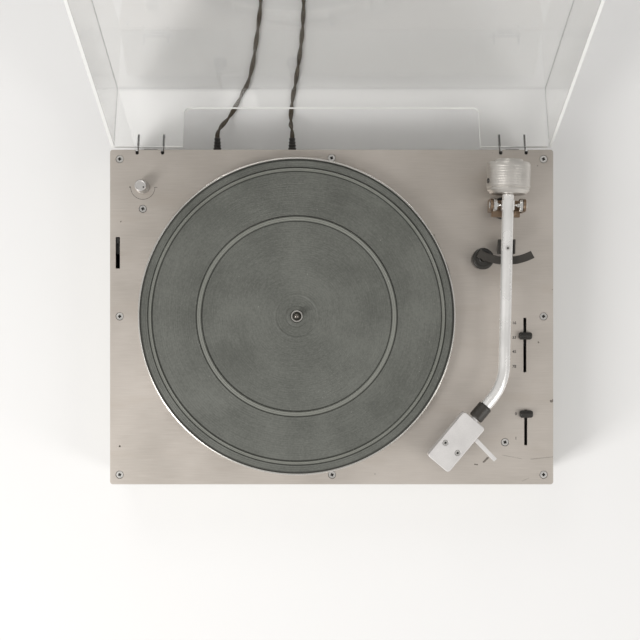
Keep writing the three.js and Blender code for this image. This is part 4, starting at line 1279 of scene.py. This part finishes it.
def trim_scale():
    x, y = deck_xy(centre_of("fine_speed_knob"))
    half_circle = arc(x, y, 11.1, 180, 360, 40) + arc(x, y, 10.75, 360, 180, 40)
    dash = round_box(x + 10.2, y - 0.2, x + 13.2, y + 0.2, 0.15, 2)
    dot = circle(x - 11.6, y + 0.2, 0.6, 20)
    return [flat([outline], 0, INK) for outline in (half_circle, dash, dot)]


SPEEDS = {"16": -5.4, "33": -18.5, "45": -31.3, "78": -44.7}
marks = [moved(shape, DECK) for shape in trim_scale()]
marks += [number(speed, 166.6, y, 2.5) for speed, y in SPEEDS.items()]
marks += [number("0", 167.2, -87.5, 2.5), number("1", 167.2, -109.5, 2.5)]
finished("deck_marks", joined(*marks), "root", INK_AND_SLOT_SHADE, "plate", (), 30)
print("controls and marks made")

# %% [markdown]
# ## Tonearm
#
# The arm is drawn in its own frame, with the pivot at the origin and the tube along -Y, and the head in a
# second frame at the tube's end, turned by the bend. A section carried along a path makes the tube; turned
# profiles make the weight, the collar and the bearings. The head is a filled outline hollowed from below.

# %% Arm and head frames
ARM_YAW, BEND, BEND_RADIUS = -1.29, 38.7, 48.0
TUBE_REAR, TUBE_FRONT, TUBE_TIP, TUBE_RADIUS, TUBE_HEIGHT = 9.4, -140.1, 7.9, 5.15, 34.0
HEAD_CENTRE, HEAD_WIDTH, HEAD_LENGTH = -40.8, 23.8, 50.2

bend = math.radians(BEND)
tube_end = Vector((
    -BEND_RADIUS * (1 - math.cos(bend)) - TUBE_TIP * math.sin(bend),
    TUBE_FRONT - BEND_RADIUS * math.sin(bend) - TUBE_TIP * math.cos(bend), 0,
))
ARM = Matrix.Translation((PIVOT.x, PIVOT.y, DECK.z)) @ Matrix.Rotation(math.radians(ARM_YAW), 4, "Z")
HEAD = ARM @ Matrix.Translation(tube_end * MM) @ Matrix.Rotation(-bend, 4, "Z")


def along_y(profile, sides, height=TUBE_HEIGHT):
    """A profile turned about a line along Y at the arm's height, in the arm's or the head's frame."""
    return turned(profile, sides, (0, 0, height * MM), (0, 1, 0))


# %% Tube
def tube_path():
    points = [Vector((0, TUBE_REAR, TUBE_HEIGHT)), Vector((0, TUBE_REAR - 0.5, TUBE_HEIGHT))]
    points += [Vector((0, y, TUBE_HEIGHT)) for y in range(0, -140, -20)]
    for i in range(25):
        turn = bend * i / 24
        x, y = -BEND_RADIUS * (1 - math.cos(turn)), TUBE_FRONT - BEND_RADIUS * math.sin(turn)
        points.append(Vector((x, y, TUBE_HEIGHT)))
    tip = Vector((-math.sin(bend), -math.cos(bend), 0))
    last = points[-1]
    points += [last + tip * (TUBE_TIP - 0.5), last + tip * TUBE_TIP]
    return [p * MM for p in points]


def arm_tube():
    path = tube_path()
    ends = (0, len(path) - 1)
    tube = along(path, round_section(TUBE_RADIUS, 40), size=lambda i: 0.9 if i in ends else 1.0)
    block = flat([round_box(-5.4, -4.5, 5.4, 4.5, 0.8, 4)], TUBE_HEIGHT - 6, TUBE_HEIGHT + 3.5, 0.6, 3)
    shape = placed(joined(tube, block), ARM)
    return finished("tonearm_tube", shape, "tonearm", SATIN, "arm_aluminium", "arm_tube", 40)


arm_tube()
insert_screw = ARM @ (Vector((0, -38, TUBE_HEIGHT + TUBE_RADIUS + 0.75)) * MM)
screws("tube_screw", [insert_screw], "tonearm", seed=5, scale=0.6)


# %% Counterweight and its stub
def counterweight():
    radius, front, rear = 18.9, 9.7, 39.6
    profile = [(4.4, front), (radius - 3.3, front), (radius - 0.5, front + 2.9), (radius - 0.5, front + 4.6),
               (radius - 0.75, front + 4.9), (radius - 0.5, front + 5.2), (radius, front + 5.6)]
    for i in range(8):
        at = front + 7.0 + i * 2.2
        profile += [(radius, at), (radius - 0.12, at + 0.25), (radius, at + 0.5)]
    profile += [(radius, rear - 4.0), (radius - 0.8, rear - 2.6), (12.6, rear - 2.2), (12.4, rear - 0.4),
                (12.0, rear), (0, rear), (0, rear - 2.6), (4.4, rear - 2.6), (4.4, front)]
    shape = placed(along_y(profile, 128), ARM)
    weight = finished("balance_weight", shape, "balance_weight", WEIGHT_SILVER, "turned_aluminium",
                      "counterweight", 40)
    out = Vector((-math.cos(math.radians(14)), 0, math.sin(math.radians(14))))
    socket = turned([(0, -1.2), (2.3, -1.2), (2.3, 0.4), (1.1, 0.4), (1.1, -0.6), (0, -0.6)], 24,
                    Vector((0, 20.5, TUBE_HEIGHT)) * MM + out * (radius - 0.1) * MM, out)
    finished("weight_set_screw", placed(socket, ARM), "balance_weight", BLACKENED, "wire_steel", (), 30)
    return weight


def balance_stub():
    """A rod with a fine thread, so that the weight can be turned along it."""
    first, last, count = TUBE_REAR + 0.3, 36.0, 26
    profile = [(0, first), (3.6, first)]
    for i in range(count):
        at = first + 0.6 + (last - first - 1.2) * i / count
        profile += [(3.65, at), (4.0, at + 0.5)]
    shape = placed(along_y([*profile, (3.6, last - 0.2), (3.4, last), (0, last)], 32), ARM)
    return finished("threaded_stub", shape, "tonearm", DARK_WIRE, "wire_steel", "balance_stub", 30)


counterweight()
balance_stub()


# %% Base, yoke and pivot bearings
def arm_base():
    profile = [(0, -14), (6.5, -14), (6.5, 0.3), (10, 0.3), (10, 2.6), (9.4, 3.1), (6.5, 3.4), (6.5, 16),
               (3.3, 16), (3.3, 4), (0, 4)]
    shape = placed(turned(rounded(profile, 0.4, 3), 64), ARM)
    return finished("arm_column", shape, "root", BLACK, "black_plastic", "arm_base", 35)

def pivot_bearing(side):
    """A pointed screw whose head slot is a thin black sheet of painted shade, and its polished round lock
    nut.
    """
    profile = [(0, 5.6), (0.8, 6.2), (1.3, 8), (2, 8.6), (2, 9.8), (5.2, 9.8), (5.75, 10.3), (5.75, 12.4),
               (5.2, 12.9), (2, 12.9), (2, 15.6), (2.7, 15.6), (3, 15.8), (3, 16.1), (2.7, 16.4), (0, 16.4)]
    word = "left" if side < 0 else "right"
    shape = turned(profile, 48, (0, 0, TUBE_HEIGHT * MM), (side, 0, 0))
    # No slot is cut: a thin black sheet on the head's end face is painted shade for it.
    blade = bmesh.new()
    bmesh.ops.create_cube(blade, size=1.0)
    size = Matrix.Diagonal((0.1 * MM, 4.8 * MM, 0.7 * MM, 1.0))
    placed(blade, Matrix.Translation((side * 16.37 * MM, 0, TUBE_HEIGHT * MM)) @ size)
    finished(f"pivot_slot_shade_{word}", placed(blade, ARM), "arm_carriage", INK_AND_SLOT_SHADE, "bright_metal")
    return finished(f"pivot_screw_{word}", placed(shape, ARM), "arm_carriage", CHROME, "bright_metal",
                    f"pivot_bearing_{word}", 30)


arm_base()
refined("gimbal_yoke", "arm_yoke", "arm_carriage", BRONZE, "bronze", 0.35, 3)
pivot_bearing(-1)
pivot_bearing(1)


# %% Collar, head and finger lift
def collar():
    profile = [(0, -14.2), (5.7, -14.2), (6.3, -13.6), (6.5, -13.0), (6.5, -1.4), (6.3, -0.7), (5.6, -0.1),
               (0, -0.1)]
    shape = placed(along_y(profile, 48), HEAD)
    return finished("locking_collar", shape, "tonearm", COLLAR_BLACK, "black_plastic", "arm_collar", 50)


def hollowed(outer, inner):
    """Cuts one closed bmesh out of another."""
    body, tool = [linked("solid", as_mesh(shape, "solid")) for shape in (outer, inner)]
    cut = body.modifiers.new("cut", "BOOLEAN")
    cut.operation, cut.solver, cut.object = "DIFFERENCE", "EXACT", tool
    mesh = evaluated_mesh(body)
    bpy.data.objects.remove(tool)
    return as_shape(mesh)


SHELL_SCREWS = [(side * 6.9, HEAD_CENTRE - 6.5) for side in (-1, 1)]


def headshell():
    half, front, rear = HEAD_WIDTH / 2, HEAD_CENTRE - HEAD_LENGTH / 2, HEAD_CENTRE + HEAD_LENGTH / 2
    holes = [circle(x, y, 2.35, 32) for x, y in SHELL_SCREWS]
    outer = flat([round_box(-half, front, half, rear, 2.6, 8), *holes], 24.5, 39, 0.7, 4)
    wall = 1.6
    inner = flat([round_box(-half + wall, front + wall, half - wall, rear - wall, 1.2, 6)], 20, 39 - wall)
    neck = along_y([(0, rear - 1), (4, rear - 1), (4, -12.5), (3.7, -12.2), (0, -12.2)], 32)
    shape = placed(joined(hollowed(outer, inner), neck), HEAD)
    return finished("head_shell", shape, "tonearm", HEAD_SILVER, "arm_aluminium", "headshell", 35)


def finger_lift():
    """A narrow blade with a raised end where a finger takes it."""
    blade = round_box(-0.4, -1.85, 24.6, 1.85, 0.5, 4)
    end = round_box(20.4, -1.85, 24.6, 1.85, 0.5, 4)
    shape = joined(flat([blade], 35, 36.4, 0.25, 3), flat([end], 35.3, 36.6, 0.2, 2))
    place = (HEAD_WIDTH / 2 * MM + 0.3 * MM, (HEAD_CENTRE + 12.5) * MM, 0)
    shape = placed(moved(shape, place, -6), HEAD)
    return finished("lift_finger", shape, "tonearm", HEAD_SILVER, "arm_aluminium", "finger_lift", 35)


collar()
headshell()
finger_lift()
screws("shell_screws", [HEAD @ (Vector((x, y, 38.9)) * MM) for x, y in SHELL_SCREWS], "tonearm", seed=8,
       scale=0.73)
refined("cartridge_body", "cartridge", "tonearm", BLACK, "black_plastic", 0.5, 3)
refined("stylus_holder", "stylus", "tonearm", BLACK, "black_plastic", 0.0)
print("arm and head made")


# %% Rest and lift
def lift_column():
    profile = [(0, 0.3), (7.6, 0.3), (8.2, 0.8), (8.2, 18.4), (9.4, 19.4), (9.6, 20.2), (9.6, 22.6),
               (8.6, 23.8), (6.6, 23.8), (6.4, 23.5), (3.4, 23.5), (3.2, 23.8), (2.4, 23.8), (2.4, 6), (0, 6)]
    shape = turned(rounded(profile, 0.3, 2), 64, over_deck(centre_of("lift_column")))
    return finished("lift_post", shape, "root", BLACK, "black_plastic", "lift_column", 35)


def lift_bar(reach=48.4, half=3.5, left=-121, right=-62):
    """An arc about the arm's pivot, so that it carries the tube wherever the arm stands."""
    outline = arc(0, 0, reach + half, left, right, 40) + arc(0, 0, reach - half, right, left, 40)
    bar = moved(flat([outline], 25.8, 28.4, 0.5, 3), over_deck(PIVOT))
    rod = turned([(0, 14), (2, 14), (2, 27.5), (0, 27.5)], 32, over_deck(centre_of("lift_column")))
    return finished("lift_arc", joined(bar, rod), "arm_lift", COLLAR_BLACK, "black_plastic", "lift_bar", 35)


def arm_rest():
    """A flat seat on a post, with one prong outside the tube, so the arm swings in freely."""
    base = flat([round_box(-7.3, -42.6, 7.3, -29.7, 0.8, 3)], 25, 28.5, 0.4, 2)
    outer = flat([round_box(5.7, -42.6, 7.3, -29.7, 0.5, 3)], 26, 35, 0.4, 2)
    post = turned([(0, 0.3), (3.5, 0.3), (3.5, 26), (0, 26)], 32, (0, -37.4 * MM, 0))
    shape = placed(joined(base, outer, post), ARM)
    return finished("rest_cradle", shape, "root", COLLAR_BLACK, "black_plastic", "arm_rest", 35)


arm_rest()
lift_column()
lift_bar()

# %% [markdown]
# ## Lid
#
# The lid is one acrylic moulding with a wide notch for the cords. Two bent spring wires are its hinges: their
# legs sit in its rear wall and their bars turn in clips behind the plinth.


# %% Lid, wires and clips
LID_OPEN = math.radians(-110)
RIM_DEPTH, NOTCH_REACH = 0.055, 0.136


def hinge_wire(side):
    """The wire's line is drawn closed, as the lid is, and turned back with it."""
    x = centre_of(f"hinge_wire_{side}").x
    half, leg_depth, leg_top = 11.5, 1.5, 16
    corners = [(half, -leg_depth, leg_top), (half, -leg_depth, leg_top / 2), (half, -leg_depth, 2.2),
               (half - 0.4, -leg_depth / 2, 0.6), (half - 1.8, 0, 0), (0, 0, 0)]
    line = [Vector((-a, b, c)) for a, b, c in corners] + [Vector(p) for p in corners[-2::-1]]
    opened = Matrix.Translation((x, HINGE.y, HINGE.z)) @ Matrix.Rotation(LID_OPEN, 4, "X")
    shape = along([opened @ (p * MM) for p in smooth_path(line, 8)], round_section(0.6, 14))
    return finished(f"spring_wire_{side}", shape, "cover", DARK_WIRE, "wire_steel", f"hinge_wire_{side}", 60)


def clear_lid():
    """The sawn rim and the notch's sides stay milky, so they get a finish of their own."""
    lid = refined("clear_lid", "lid", "cover", ACRYLIC, "clear_acrylic", 0.35, 2)
    lid.data.materials.append(SAWN_EDGE)
    rim_way = Matrix.Rotation(LID_OPEN, 3, "X") @ Vector((0, 0, -1))
    sawn = 0
    for face in lid.data.polygons:
        notch_side = abs(face.normal.x) > 0.6 and abs(face.center.x) < NOTCH_REACH
        near_rim = (face.center - HINGE).dot(rim_way) > -RIM_DEPTH
        if near_rim and (face.normal.dot(rim_way) > 0.6 or notch_side):
            face.material_index = 1
            sawn += 1
    return sawn


def notch_shade_shelf(side):
    """A black shelf on the clip, under the wire's two ends: painted shade seen through the plate's notches.
    """
    low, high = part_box(f"hinge_clip_{side}")
    place = ((low.x + high.x) / 2, DECK.y, DECK.z)
    shelf = flat([round_box(-15, (low.y - DECK.y) / MM, 15, 151.0, 0.8, 3)], -10.2, -9.2, 0.2, 1)
    return finished(f"notch_shade_shelf_{side}", moved(shelf, place), "root", BLACK, "black_plastic")


print("sawn faces of the lid:", clear_lid())
for side in ("left", "right"):
    hinge_wire(side)
    notch_shade_shelf(side)
    refined(f"wire_clip_{side}", f"hinge_clip_{side}", "root", BLACK, "black_plastic", 0.4, 2)
print("lid made")
